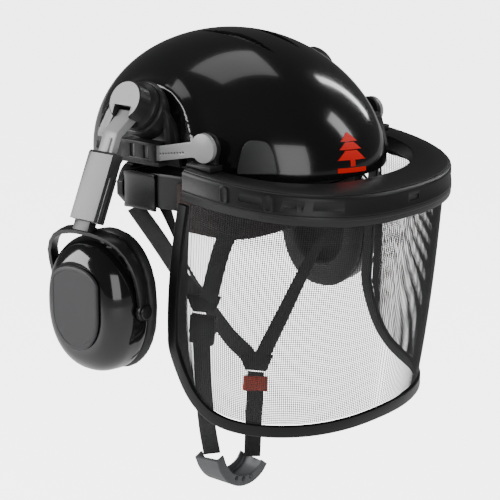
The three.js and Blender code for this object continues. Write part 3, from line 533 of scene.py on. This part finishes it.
# ---------------------------------------------------------------- visor arms and brackets
# Pale grey acetal arms with a row of setting holes; each ends in a plain round disc over the hinge
# pin. The visor's bracket blocks stand on the browguard and turn on the pins.
pale_acetal = plastic("pale_grey_acetal", (0.27, 0.27, 0.275), 0.3, 0.00001, 900, 0.1)
bracket_black = plastic("nylon_black", (0.01, 0.01, 0.0105), 0.4, 0.00003, 1300, specular=0.28)
for hand in ("right", "left"):
    rounded(f"visor_arm_{hand}", 0.12, pale_acetal, "pale_arm")
    rounded(f"visor_pin_{hand}", 0.3, bracket_black, "matt_carrier")
    rounded(f"visor_bracket_{hand}", 0.6, bracket_black, "matt_carrier")

# ---------------------------------------------------------------- browguard and retainer
# A polypropylene frame round the shell's front: a wide top flange that turns down into a skirt. A
# second moulding, the retainer lip, snaps under it and clamps the mesh. Bosses and slots take the snaps.
VISOR = {"pivot_y": -56.5, "pivot_z": 27, "half_width": 132, "length": 128, "corner": 2.35, "centre_y": -56}
FLANGE = {"half_width": 107, "length": 93, "thickness": 2.6, "skirt": 17, "slope": 0.12, "top_z": 11}
STRAIGHT = 0.05
BROW_REAR = -50


def visor_plan(t, half_width, length, rear):
    """Plan of the visor: half a superellipse before the hinge line, then straight sides back to rear."""
    scaled = (t - STRAIGHT) / (1 - 2 * STRAIGHT)
    if scaled < 0:
        return Vector((-half_width, mix(rear, VISOR["centre_y"], t / STRAIGHT), 0))
    if scaled > 1:
        return Vector((half_width, mix(rear, VISOR["centre_y"], (1 - t) / STRAIGHT), 0))
    angle = pi * (1 + scaled)
    x = power(cos(angle), 2 / VISOR["corner"]) * half_width
    return Vector((x, VISOR["centre_y"] + power(sin(angle), 2 / VISOR["corner"]) * length, 0))


def flange_z(y):
    return FLANGE["top_z"] + FLANGE["slope"] * (y - VISOR["centre_y"])


def brow_place(u, v, t):
    inner = visor_plan(t, FLANGE["half_width"], FLANGE["length"], BROW_REAR)
    outer = visor_plan(t, VISOR["half_width"], VISOR["length"], BROW_REAR)
    point = inner.lerp(outer, u)
    return (point.x, point.y, flange_z(point.y) + v)


brow_section = [
    (0.0, -12.6), (0.0, -1.6), (0.012, -0.5), (0.045, 0.0), (0.88, 0.0), (0.9, -0.3), (0.905, -1.0),
    (0.955, -1.3),
    (0.985, -2.2), (0.998, -4.0), (0.998, -15.0), (1.01, -15.6), (1.01, -17.0), (0.94, -17.0), (0.93, -16.0),
    (0.93, -4.0), (0.9, -2.8), (0.09, -2.8), (0.065, -4.2), (0.065, -12.9), (0.04, -13.0),
]
brow = swept("browguard_moulding", brow_section, 180, brow_place)


def capsule(name, t, v, half_long, half_wide, depth, out=0.0, upright=False):
    """A rounded slot or boss that lies on the skirt at t, its middle v mm under the flange's top."""
    middle = Vector(brow_place(1, v, t))
    ahead = Vector(brow_place(1, v, t + 0.004))
    along = (ahead - middle).normalized()
    away = along.cross(Vector((0, 0, 1))).normalized()
    rise = Vector((0, 0, 1))
    along, rise = (rise, along) if upright else (along, rise)
    span = half_long - half_wide
    ring = [(span * (1 if cos(a) >= 0 else -1) + half_wide * cos(a), half_wide * sin(a))
            for a in (2 * pi * (i + 0.5) / 28 for i in range(28))]
    return swept(name, ring, 1, lambda a, b, k: middle + along * a + rise * b + away * mix(-depth, depth,
        k) + away * out)


for at, v, half_long in ((0.262, -9.5, 2.4), (0.318, -9.8, 13), (0.165, -9.5, 10), (0.76, -9, 6),
    (0.50, -9.5, 7)):
    for t in (at, 1 - at):
        combined(brow, capsule("slot", t, v, half_long, 2.4, 1.0))
for at, tall in ((0.115, 7), (0.2, 7)):
    for t in (at, 1 - at):
        combined(brow, capsule("boss", t, -9.6, tall, 3.6, 1.3, upright=True), "UNION")
        combined(brow, capsule("boss_line", t, -9.6, tall - 1.3, 2.3, 0.5, out=1.3, upright=True))
brow_grey = plastic("browguard_pp", (0.014, 0.014, 0.0145), 0.36, 0.00004, 1500, 0.12, specular=0.28)
settled(bevelled(brow, 0.25, 2, 50), brow_grey, "brow_plastic", "browguard")

lip_section = [(0.953, -17.4), (1.008, -17.4), (1.012, -18.2), (1.012, -20.0), (1.0, -20.6), (1.0, -24.2),
    (0.992, -25),
               (0.955, -25), (0.95, -24.3), (0.95, -18.0)]
lip = swept("retainer_lip", lip_section, 180, brow_place)
lip_grey = plastic("retainer_pp", (0.024, 0.024, 0.025), 0.32, 0.00003, 1500, specular=0.28)
settled(smoothed(lip, 30), lip_grey, "retainer_plastic", "mesh_retainer")

# ---------------------------------------------------------------- visor mesh
# Woven black nylon wire: upright wires and cross wires, curved round the face and raked back below.
MESH = {"top_drop": 6, "front_rake": 31, "bottom_z": -199, "thickness": 1.0}
UPRIGHTS = 208
CROSSINGS = 118
WIRE = 0.33


def mesh_point(t, h, inset):
    below = visor_plan(t, 124, 95, -46)
    q = min(max((below.y + 151) / 105, 0), 1)
    bottom = MESH["bottom_z"] + 13 * q + 50 * q ** 7
    start = visor_plan(t, VISOR["half_width"], VISOR["length"], -51)
    z = mix(flange_z(start.y) - MESH["top_drop"], bottom, h)
    fall = min(max(-z / 210, 0), 1)
    side = VISOR["half_width"] - 4 + 7 * sin(pi * min(fall * 0.78, 1)) - 9 * fall ** 3
    length = VISOR["length"] - 4.2 - MESH["front_rake"] * fall
    rear = -58 + 12 * sin(pi / 2 * min(fall * 1.5, 1))
    point = visor_plan(t, side - inset, length - inset, rear)
    return Vector((point.x, point.y, z))


def wire_cloth(name, lines, steps, place):
    """Wires side by side, each a chain of edges that gets its thickness as a curve."""
    points = [place(i / lines, k / steps) * MM for i in range(lines + 1) for k in range(steps + 1)]
    chains = [(i * (steps + 1) + k, i * (steps + 1) + k + 1) for i in range(lines + 1) for k in range(steps)]
    chain_mesh = bpy.data.meshes.new(name)
    chain_mesh.from_pydata(points, chains, [])
    cloth = bpy.data.objects.new(name, chain_mesh)
    bpy.context.scene.collection.objects.link(cloth)
    only(cloth)
    bpy.ops.object.convert(target="CURVE")
    cloth = bpy.context.object
    cloth.data.bevel_depth = WIRE * MM
    cloth.data.bevel_resolution = 0
    cloth.data.use_fill_caps = False
    bpy.ops.object.convert(target="MESH")
    cloth = bpy.context.object
    only(cloth)
    bpy.ops.object.mode_set(mode="EDIT")
    bpy.ops.mesh.select_all(action="SELECT")
    bpy.ops.mesh.normals_make_consistent(inside=False)
    bpy.ops.object.mode_set(mode="OBJECT")
    bpy.ops.object.shade_smooth()
    return cloth


wire_black = plastic("nylon_wire", (0.016, 0.016, 0.017), 0.38, 0.000005, 2000)
uprights = wire_cloth("mesh_uprights", UPRIGHTS, 22, lambda a, b: mesh_point(mix(0.001, 0.999, a), b, 0.35))
settled(uprights, wire_black, "visor_mesh", "visor_mesh")
crossings = wire_cloth("mesh_crossings", CROSSINGS, 110, lambda a,
    b: mesh_point(mix(0.001, 0.999, b), a, 0.65))
settled(crossings, wire_black, "visor_mesh", body="visor")

# ---------------------------------------------------------------- mesh edge trim
# A soft PVC channel folded over the mesh's free edge, down both sides and along the bottom.
TRIM = {"width": 10, "thickness": 4.6, "gap": 0.35}


def curve_through(points):
    """A centripetal curve through points: gives the place at t from 0 to 1."""
    knots = [Vector(p) for p in points]
    knots = [knots[0] * 2 - knots[1]] + knots + [knots[-1] * 2 - knots[-2]]

    def at(t):
        scaled = min(max(t, 0), 1) * (len(knots) - 3)
        first = min(int(scaled), len(knots) - 4)
        w = scaled - first
        p0, p1, p2, p3 = knots[first:first + 4]
        d0, d1, d2 = ((b - a).length ** 0.5 for a, b in ((p0, p1), (p1, p2), (p2, p3)))
        m1 = ((p1 - p0) / d0 - (p2 - p0) / (d0 + d1) + (p2 - p1) / d1) * d1
        m2 = ((p2 - p1) / d1 - (p3 - p1) / (d1 + d2) + (p3 - p2) / d2) * d1
        return (p1 * (2 * w ** 3 - 3 * w * w + 1) + m1 * (w ** 3 - 2 * w * w + w)
                + p2 * (-2 * w ** 3 + 3 * w * w) + m2 * (w ** 3 - w * w))
    return at


def barred(name, points, looks, section, steps, sizes=None, wave=None):
    """A bar through points whose flat face looks the given ways; section is in (across, outwards) mm."""
    at = curve_through(points)
    facing = [Vector(n) for n in looks]

    def place(u, v, t):
        along = (at(min(t + 0.002, 1)) - at(max(t - 0.002, 0))).normalized()
        scaled = t * (len(facing) - 1)
        first = min(int(scaled), len(facing) - 2)
        look = facing[first].lerp(facing[first + 1], scaled - first)
        look = (look - along * look.dot(along)).normalized()
        lift = wave(t, u) if wave else 0
        return at(t) + along.cross(look) * u + look * (v + lift)
    return swept(name, section, steps, place, sizes)


def trim_route(steps):
    edge = [(0, mix(0.17, 0.94, i / 13)) for i in range(14)] + [(i / 32, 1) for i in range(33)]
    edge += [(1, mix(0.94, 0.17, i / 13)) for i in range(14)]
    on_edge = [mesh_point(t, h, MESH["thickness"] / 2) for t, h in edge]
    normals = [(mesh_point(t, h, 0) - mesh_point(t, h, 2)).normalized() for t, h in edge]
    centres = []
    for i, point in enumerate(on_edge):
        along = (on_edge[min(i + 1, len(on_edge) - 1)] - on_edge[max(i - 1, 0)]).normalized()
        away = along.cross(normals[i]).normalized()
        if away.dot(point - Vector((0, -56, -90))) < 0:
            away.negate()
        centres.append(point + away * (TRIM["gap"] + TRIM["width"] / 2 + 1.3))
    return centres, normals


centres, normals = trim_route(60)
half_w, half_t = TRIM["width"] / 2, TRIM["thickness"] / 2
trim_section = [(-half_w, -half_t * 0.55), (-half_w + 0.5, -half_t), (half_w - 1.2, -half_t),
    (half_w - 0.3, -half_t * 0.7),
                (half_w, 0), (half_w - 0.3, half_t * 0.7), (half_w - 1.2, half_t), (-half_w + 0.5, half_t),
                (-half_w, half_t * 0.55)]
trim = barred("edge_channel", centres, normals, trim_section, 220)
trim_black = plastic("pvc_black", (0.008, 0.008, 0.0085), 0.36, 0.00003, 900, 0.15, specular=0.28)
settled(smoothed(trim, 50), trim_black, "edge_trim", "mesh_edge_trim")

# ---------------------------------------------------------------- muff hubs, arms and sleeves
# Each muff hangs on a round hub in its carrier. A pale arm comes out of the hub's mouth and runs
# down into a gloss sleeve, which slides on it to set the height.
MUFF = {"pivot": (106, 15, 50), "lean": radians(25)}
LEFT_LIFT = 12
lean_x, lean_z = cos(MUFF["lean"]), sin(MUFF["lean"])
lifted = Vector((-lean_z * LEFT_LIFT, 0, lean_x * LEFT_LIFT))
SIDES = (("right", -1, Vector((0, 0, 0))), ("left", 1, lifted))


def leaning(out, y, down):
    return Vector((MUFF["pivot"][0] + lean_x * out + lean_z * down, y,
        MUFF["pivot"][2] + lean_z * out - lean_x * down))


def sided(point, side, step=Vector((0, 0, 0))):
    """A point drawn for the wearer's left, placed on either side."""
    if side > 0:
        return Vector(point) + step
    return Vector((-point[0], point[1], point[2]))


def lean_block(name, outline, y0, y1, side, step=Vector((0, 0, 0))):
    return swept(name, outline, 1, lambda out, down, t: sided(leaning(out, mix(y0, y1, t), down), side, step))


def turned(name, profile, sides, place):
    """A turned piece: profile is (radius, height) from the axis back to the axis."""
    count = len(profile) - 1
    ring = [(2 * pi * i / sides, 0) for i in range(sides)]
    return swept(name, ring, count, lambda a, _, t: place(*profile[round(t * count)], a))


# The hub caps' pale grey is a painted highlight: it stands in for the bright light that the cap's face
# catches.
cap_pale_painted_highlight = plastic("hub_cap_painted_highlight", (0.22, 0.22, 0.225), 0.28, 0.00001, 900, 0.08)
sleeve_gloss = plastic("sleeve_gloss", (0.035, 0.035, 0.036), 0.22, 0.000006, 600, 0.08, coat=0.25)
hub_profile = [(0, 0), (6, 0), (6, 5.4), (20.5, 5.4), (20.5, 9.4), (19.6, 10.6), (17, 12), (17, 23.2),
    (16.6, 24.3),
               (15.6, 25), (0, 25)]
for hand, side, step in SIDES:
    def on_axis(radius, height, angle):
        y, down = MUFF["pivot"][1] + radius * cos(angle), radius * sin(angle)
        return sided(leaning(height, y, down), side)
    hub = turned(f"hub_cap_{hand}", hub_profile, 96, on_axis)
    mouth = [(10.5, 4.5), (30, 4.5), (30, 30), (10.5, 30)]
    combined(hub, lean_block("mouth", mouth, MUFF["pivot"][1] - 9, MUFF["pivot"][1] + 9, side))
    bevelled(hub, 0.4, 2, 40)
    settled(hub, carrier_grey, "matt_carrier", f"pivot_hub_{hand}")
    hub.data.materials.append(cap_pale_painted_highlight)
    # The hub's flat outer face takes the pale grey painted highlight.
    outward = Vector((side * lean_x, 0, lean_z))
    cap_level = (sided(leaning(24, MUFF["pivot"][1], 0), side) * MM).dot(outward)
    for face in hub.data.polygons:
        if face.normal.dot(outward) > 0.9 and face.center.dot(outward) > cap_level:
            face.material_index = 1
    rounded(f"muff_arm_{hand}", 0.5, pale_acetal, "pale_arm")
    rounded(f"arm_sleeve_{hand}", 1.1, sleeve_gloss, "gloss_sleeve", 3)

# ---------------------------------------------------------------- ear cups, plates and yokes
# Gloss ABS cups hang on a sprung fork by two pins. A shield-shaped grained plate closes the outside.
CUP = {"y": 17, "z": -104, "half_length": 45, "half_height": 58, "face_x": 187}


def cup_place(side, step):
    def place(radius, x, angle):
        c, s = power(cos(angle), 2 / 2.2), power(sin(angle), 2 / 2.2)
        point = (x, CUP["y"] + c * radius * CUP["half_length"], CUP["z"] + s * radius * CUP["half_height"])
        return sided(point, side, step)
    return place


cup_profile = [(0, 187), (0.62, 187), (0.7, 186.2), (0.78, 184), (0.85, 180.6), (0.91, 176.8),
    (0.95, 172.8), (0.98, 168),
               (0.99, 164), (0.995, 158), (1.0, 156.6), (1.0, 151), (0.99, 149.5), (0.95, 149.4),
               (0.94, 150), (0.93, 164),
               (0.88, 172.5), (0.76, 179), (0.6, 183.8), (0, 184)]
shield = cubic((0, 34), (14, 34), (24, 28), (26, 21), 14) + [(26, -6)]
shield += cubic((26, -6), (26, -24), (14, -37), (0, -37), 16) + cubic((0, -37), (-14, -37), (-26, -24),
    (-26, -6), 16)
shield += [(-26, 21)] + cubic((-26, 21), (-24, 28), (-14, 34), (0, 34), 14)
cup_gloss = plastic("cup_gloss_abs", (0.006, 0.006, 0.0065), 0.12, 0.000004, 400, 0.05, coat=0.4)
plate_grain = plastic("plate_fine_grain", (0.03, 0.03, 0.032), 0.42, 0.00003, 1600, 0.1)
yoke_black = plastic("yoke_nylon", (0.01, 0.01, 0.0105), 0.3, 0.00002, 1000)
for hand, side, step in SIDES:
    cup = turned(f"cup_shell_{hand}", cup_profile, 112, cup_place(side, step))
    applied(cup, "SUBSURF", levels=1, render_levels=1)
    settled(smoothed(cup, 60), cup_gloss, "gloss_cup", f"ear_cup_{hand}")
    plate_levels = [(0.94, 0.35), (1.0, 0.9), (1.0, 2.2), (0.985, 2.9), (0.93, 3.3), (0.9, 3.3),
        (0.89, 2.9), (0.0, 2.9)]
    count = len(plate_levels) - 1

    def plate_place(u, v, t):
        size, height = plate_levels[round(t * count)]
        return sided((CUP["face_x"] + height, CUP["y"] + u * size, CUP["z"] + 2 + v * size), side, step)
    plate = swept(f"shield_plate_{hand}", shield, count, plate_place)
    settled(smoothed(plate, 40), plate_grain, "matt_cup_trim", f"cup_plate_{hand}")
    rounded(f"muff_yoke_{hand}", 0.6, yoke_black, "matt_cup_trim")
    for end in ("front", "rear"):
        rounded(f"yoke_pin_{end}_{hand}", 0.6, yoke_black, "matt_cup_trim", 3)

# ---------------------------------------------------------------- ear cushions and foam
# A ring of foam in soft black vinyl, welded on its inner and outer seams, and an open-cell pad inside.
cushion_profile = [(0.6, 140), (0.6, 137.6), (0.66, 136), (0.76, 135.4), (0.9, 135.6), (1.0, 137.8),
    (1.04, 142),
                   (1.01, 146.6), (0.97, 148.6), (0.64, 148.6), (0.6, 145.5)]


def closed_ring(name, profile, sides, place):
    """A ring with a closed section."""
    count = len(profile)
    bpy.ops.object.select_all(action="DESELECT")
    bpy.ops.mesh.primitive_grid_add(x_subdivisions=count, y_subdivisions=sides, size=1)
    piece = bpy.context.object
    piece.name = name
    for vertex in piece.data.vertices:
        radius, x = profile[round((vertex.co.x + 0.5) * count) % count]
        vertex.co = place(radius, x, 2 * pi * (vertex.co.y + 0.5)) * MM
    return cleaned(piece)


def puffed(piece, voxel, pressure, most):
    """Blows a soft piece up as cloth for 20 frames; no point moves further than most mm."""
    applied(piece, "REMESH", mode="VOXEL", voxel_size=voxel * MM)
    before = [vertex.co.copy() for vertex in piece.data.vertices]
    only(piece)
    cloth = piece.modifiers.new("cloth", "CLOTH")
    cloth.settings.use_pressure = True
    cloth.settings.uniform_pressure_force = pressure
    cloth.settings.effector_weights.gravity = 0
    cloth.point_cache.frame_start = 1
    cloth.point_cache.frame_end = 20
    for number in range(1, 21):
        bpy.context.scene.frame_set(number)
    bpy.ops.object.modifier_apply(modifier="cloth")
    bpy.context.scene.frame_set(1)
    for vertex, old in zip(piece.data.vertices, before):
        move = vertex.co - old
        if move.length > most * MM:
            vertex.co = old + move.normalized() * most * MM
    return applied(piece, "SUBSURF", levels=1, render_levels=1)


vinyl = plastic("soft_black_vinyl", (0.012, 0.012, 0.0125), 0.5, 0.00012, 420, 0.2)
foam = plastic("open_cell_foam", (0.02, 0.02, 0.021), 0.95, 0.0006, 700, 0.05)
for hand, side, step in SIDES:
    cushion = closed_ring(f"ear_ring_{hand}", cushion_profile, 72, cup_place(side, step))
    puffed(cushion, 3.2, 3.0, 1.2)
    smoothed(cushion, 80)
    settled(cushion, vinyl, "cushion_vinyl", f"ear_cushion_{hand}")
    foam_profile = [(0, 154.3), (0.5, 154.2), (0.8, 154.8), (0.87, 156.5), (0.84, 168), (0.7, 173.5),
        (0.5, 177.6), (0, 177.8)]
    pad = turned(f"foam_pad_{hand}", foam_profile, 64, cup_place(side, step))
    settled(smoothed(pad, 60), foam, "foam", f"cup_foam_{hand}")

# ---------------------------------------------------------------- sweatband
# A reddish-brown perforated textile pad folded round the headband's forehead part.
# Section heights below -90 are measured from the pad's own foot, which drops at the temples.
pad_section = [(-4.4, -13), (-5.0, -22), (-4.9, -34), (-4.7, -97), (-4.0, -99.2), (-2.4, -100), (-0.8, -99.2),
               (-0.1, -97), (0.1, -41.8), (2.4, -41.2), (3.8, -39.6), (4.0, -30), (3.8, -18), (3.6, -13.4),
               (2.5, -13.2), (2.45, -30), (2.4, -38.2), (1.0, -39), (-0.4, -38.2), (-0.4, -13)]


def pad_foot(degrees):
    drop = ease(min(1, max(0, (abs(degrees) - 15) / 45)))
    rise = ease(min(1, max(0, (abs(degrees) - 62) / 24)))
    return -45.5 - 12.5 * drop + 2.5 * rise


def pad_place(u, z, t):
    degrees = mix(-86, 86, t)
    quilt = 0.35 * sin(pi * t * 46) ** 2
    point = head_point(degrees, u + (quilt if u > 3 else -quilt if u < -4 else 0))
    return (point.x, point.y, z if z > -90 else pad_foot(degrees) + z + 100)


sweatband = swept("sweatband_pad", pad_section, 184, pad_place, sizes=(0.34, 0.08))

# Textile: yarns crossed on the piece's own map, a colour drift and small open pores.
textile, given, out = node_group(
    "woven_surface",
    [("Colour", "NodeSocketColor", (0.02, 0.02, 0.02, 1)), ("Dark", "NodeSocketColor", (0.0, 0.0, 0.0, 1)),
     ("Yarns", "NodeSocketFloat", 900.0), ("Slant", "NodeSocketFloat", 0.0)],
    [("Colour", "NodeSocketColor"), ("Height", "NodeSocketFloat")])
lay = linked_node(textile, "ShaderNodeTexCoord", {})
turned_map = linked_node(textile, "ShaderNodeMapping", {"Vector": (lay, "UV")})
turned_map.inputs["Rotation"].default_value = (0, 0, radians(45))
sized = linked_node(textile, "ShaderNodeVectorMath", {0: (turned_map, "Vector"), "Scale": (given, "Yarns")},
                    operation="SCALE")
weave = linked_node(textile, "ShaderNodeTexWave", {"Vector": (sized, "Vector")}, Scale=1.0,
    Distortion=0.6, Detail=1.0)
cross = linked_node(textile, "ShaderNodeTexWave", {"Vector": (sized, "Vector")}, Scale=1.0, Distortion=0.6,
                    Detail=1.0, bands_direction="Y")
crossed = linked_node(textile, "ShaderNodeMath", {0: (weave, "Fac"), 1: (cross, "Fac")}, operation="MULTIPLY")
fuzz = linked_node(textile, "ShaderNodeTexNoise", {"Vector": (lay, "Object")}, Scale=420.0, Detail=4.0)
worn = linked_node(textile, "ShaderNodeMath", {0: (crossed, 0), 1: (fuzz, "Fac")}, operation="ADD")
shown = linked_node(textile, "ShaderNodeMapRange", {"Value": (worn, 0)})
shown.inputs["From Min"].default_value = 0.35
shown.inputs["From Max"].default_value = 1.1
blended = textile.nodes.new("ShaderNodeMix")
blended.data_type = "RGBA"
textile.links.new(shown.outputs["Result"], blended.inputs[0])
textile.links.new(given.outputs["Dark"], blended.inputs[6])
textile.links.new(given.outputs["Colour"], blended.inputs[7])
textile.links.new(blended.outputs[2], out.inputs["Colour"])
textile.links.new(worn.outputs[0], out.inputs["Height"])


def cloth_material(name, colour, dark, yarns, depth, sheen=0.2):
    material = bpy.data.materials.new(name)
    material.use_nodes = True
    tree = material.node_tree
    surface = tree.nodes["Principled BSDF"]
    group = linked_node(tree, "ShaderNodeGroup", {}, node_tree=textile)
    group.inputs["Colour"].default_value = (*colour, 1)
    group.inputs["Dark"].default_value = (*dark, 1)
    group.inputs["Yarns"].default_value = yarns
    bump = linked_node(tree, "ShaderNodeBump", {"Height": (group, "Height")}, Strength=1.0, Distance=depth)
    tree.links.new(group.outputs["Colour"], surface.inputs["Base Color"])
    tree.links.new(bump.outputs["Normal"], surface.inputs["Normal"])
    surface.inputs["Roughness"].default_value = 0.85
    surface.inputs["Sheen Weight"].default_value = sheen
    return material


terry = cloth_material("perforated_terry", (0.10, 0.028, 0.014), (0.012, 0.005, 0.004), 1500, 0.0006)
settled(smoothed(sweatband, 60), terry, "brow_textile", "brow_pad")

# ---------------------------------------------------------------- cradle straps and chin harness
# Black polyester webbing, woven flat: 18 mm over the crown, 15 mm in the harness. Front and rear
# straps meet in a divider on each side, and the chin strap hangs below with its buckle and slider.
web_black = cloth_material("polyester_webbing", (0.022, 0.022, 0.023), (0.004, 0.004, 0.004), 1900,
    0.00025, 0.1)


def webbing(name, node, points, looks, steps, width=15, thickness=1.5):
    """A woven strap: thin at its selvedges."""
    a, b = width / 2, thickness / 2
    section = [(-a, -b * 0.4), (-a + 0.7, -b), (-a * 0.5, -b), (0, -b), (a * 0.5, -b), (a - 0.7, -b),
        (a, -b * 0.4),
               (a, b * 0.4), (a - 0.7, b), (a * 0.5, b), (0, b), (-a * 0.5, b), (-a + 0.7, b), (-a, b * 0.4)]
    strap = barred(name, points, looks, section, steps, sizes=(0.22, 0.033))
    return settled(smoothed(strap, 50), web_black, "webbing", node)


for node, sign, crown in (("cradle_strap_lower", 1, 84), ("cradle_strap_upper", -1, 87)):
    route = [(70 * sign, -71, 8), (62 * sign, -62, 42), (34 * sign, -34, crown - 12), (0, 4, crown),
             (-30 * sign, 40, crown - 10), (-54 * sign, 68, 42), (-61 * sign, 78, 8)]
    looks = [(sign, -1, 0.1), (sign, -1, 1), (0, 0, 1), (0, 0, 1), (0, 0, 1), (-sign, 1, 1), (-sign, 1, 0.1)]
    webbing(node.replace("strap", "web"), node, route, looks, 60, 18)

side_look = (-0.86, -0.5, 0)
webbing("harness_front_right", "strap_front_right",
    [(-74, -76, -13.6), (-78, -48.5, -58), (-71, -25, -111), (-70.5, -22.5, -115)],
        [side_look] * 4, 40)
webbing("harness_front_left", "strap_front_left",
        [(74, -76, -13.6), (77.5, -57, -54), (62, -33, -98), (42, -15, -152), (27, -4, -189),
        (26.3, -2.2, -194)],
        [(0.86, -0.5, 0), (0.5, -0.87, 0), (0, -1, 0), (-0.3, -0.95, 0), (-0.5, -0.85, 0),
         (-0.5, -0.85, 0)], 60)
webbing("harness_rear_right", "strap_rear_right",
        [(-18, 109.4, -63.6), (-44, 54, -84), (-61, 15, -103), (-68.5, -4.5, -112), (-69, -9, -115.5)],
        [(0, 0.6, 0.8), (-0.5, 0.2, 0.6), (-0.8, 0.1, 0.2), (-0.86, -0.3, 0), (-0.86, -0.4, 0)], 50)
webbing("harness_rear_left", "strap_rear_left",
        [(18, 109.4, -63.6), (20, 70, -137), (23, 34, -179), (25, 14.5, -193), (25, 11.5, -196.5)],
        [(0, 0.6, 0.8), (-0.3, 0.6, 0.6), (-0.5, 0.2, 0.4), (-0.6, -0.2, 0.4), (-0.7, -0.4, 0.2)], 50)
buckle_down = Vector((2, 4.5, -28)).normalized()
strap_foot = Vector((-70, -18, -128)) + buckle_down * 28.2
webbing("chin_web_right", "chin_strap_right", [strap_foot, (-61, -9, -196), (-47, -1, -240),
    (-37, 2.5, -268)],
        [side_look, side_look, (-0.8, -0.5, 0), (-0.75, -0.6, 0)], 50)
webbing("chin_web_left", "chin_strap_left", [(25, 3.5, -207.8), (18.5, 0.5, -245), (12, -3, -283.5)],
        [side_look, (-0.7, -0.6, 0), (-0.6, -0.8, 0)], 40)

acetal_black = plastic("acetal_black", (0.009, 0.009, 0.0095), 0.36, 0.00002, 1100, specular=0.28)
slider_red = plastic("slider_orange_red", (0.5, 0.05, 0.018), 0.4, 0.00002, 1100)
for node in ("buckle_female", "buckle_male", "buckle_prong_front", "buckle_prong_rear"):
    rounded(node, 0.7, acetal_black, "buckle_plastic")
# The dividers are Y-shaped plates: broad at the top, where two straps come in, and narrow below.
DIVIDER = {"top_spread": 1.4, "foot_spread": 0.92, "top_rise": 5}
for hand, middle in (("right", Vector((-70, -18, -121.5))), ("left", Vector((25, 3.5, -201.5)))):
    divider = rounded(f"strap_divider_{hand}", 0.7, acetal_black, "buckle_plastic")
    for vertex in divider.data.vertices:
        top = vertex.co.z / MM > middle.z
        spread = DIVIDER["top_spread" if top else "foot_spread"]
        vertex.co.x = (middle.x + (vertex.co.x / MM - middle.x) * spread) * MM
        vertex.co.y = (middle.y + (vertex.co.y / MM - middle.y) * spread) * MM
        vertex.co.z += DIVIDER["top_rise"] * MM if top else 0
rounded("strap_slider", 0.8, slider_red, "slider_plastic", 3)

# ---------------------------------------------------------------- chin cup
# A soft dark-grey rubber trough with an upturned rim and three round vent holes.
cup_route = [(-41, 5, -272.5), (-37, 4, -283), (-28, 3, -294), (-14, 1.5, -300.5), (0, -1, -299.5),
    (10, -3, -293.5),
             (15.5, -4, -286)]
cup_section = [(-14, -0.6), (-13.2, -1.5), (13.2, -1.5), (14, -0.6), (14, 7.4), (13.4, 8), (12.2, 8),
    (11.8, 7.4),
               (11.6, 2.6), (10.6, 1.5), (-10.6, 1.5), (-11.6, 2.6), (-11.8, 7.4), (-12.2, 8), (-13.4, 8),
               (-14, 7.4)]
chin_cup = barred("chin_trough", cup_route, [(-13 - x, 0, -262 - z) for x, _, z in cup_route],
    cup_section, 72)
for x, z in ((-20, -293), (-12, -295.5), (-4, -295)):
    ring = [(2.1 * cos(2 * pi * i / 24), 2.1 * sin(2 * pi * i / 24)) for i in range(24)]
    combined(chin_cup, swept("hole", ring, 1, lambda u, v, t: (x + u, mix(-40, 0, t), z + v)))
rubber_grey = plastic("chin_rubber_grey", (0.075, 0.078, 0.082), 0.5, 0.00005, 900, 0.2)
settled(bevelled(chin_cup, 0.3, 2, 50), rubber_grey, "chin_rubber", "chin_cup")

bpy.context.view_layer.update()
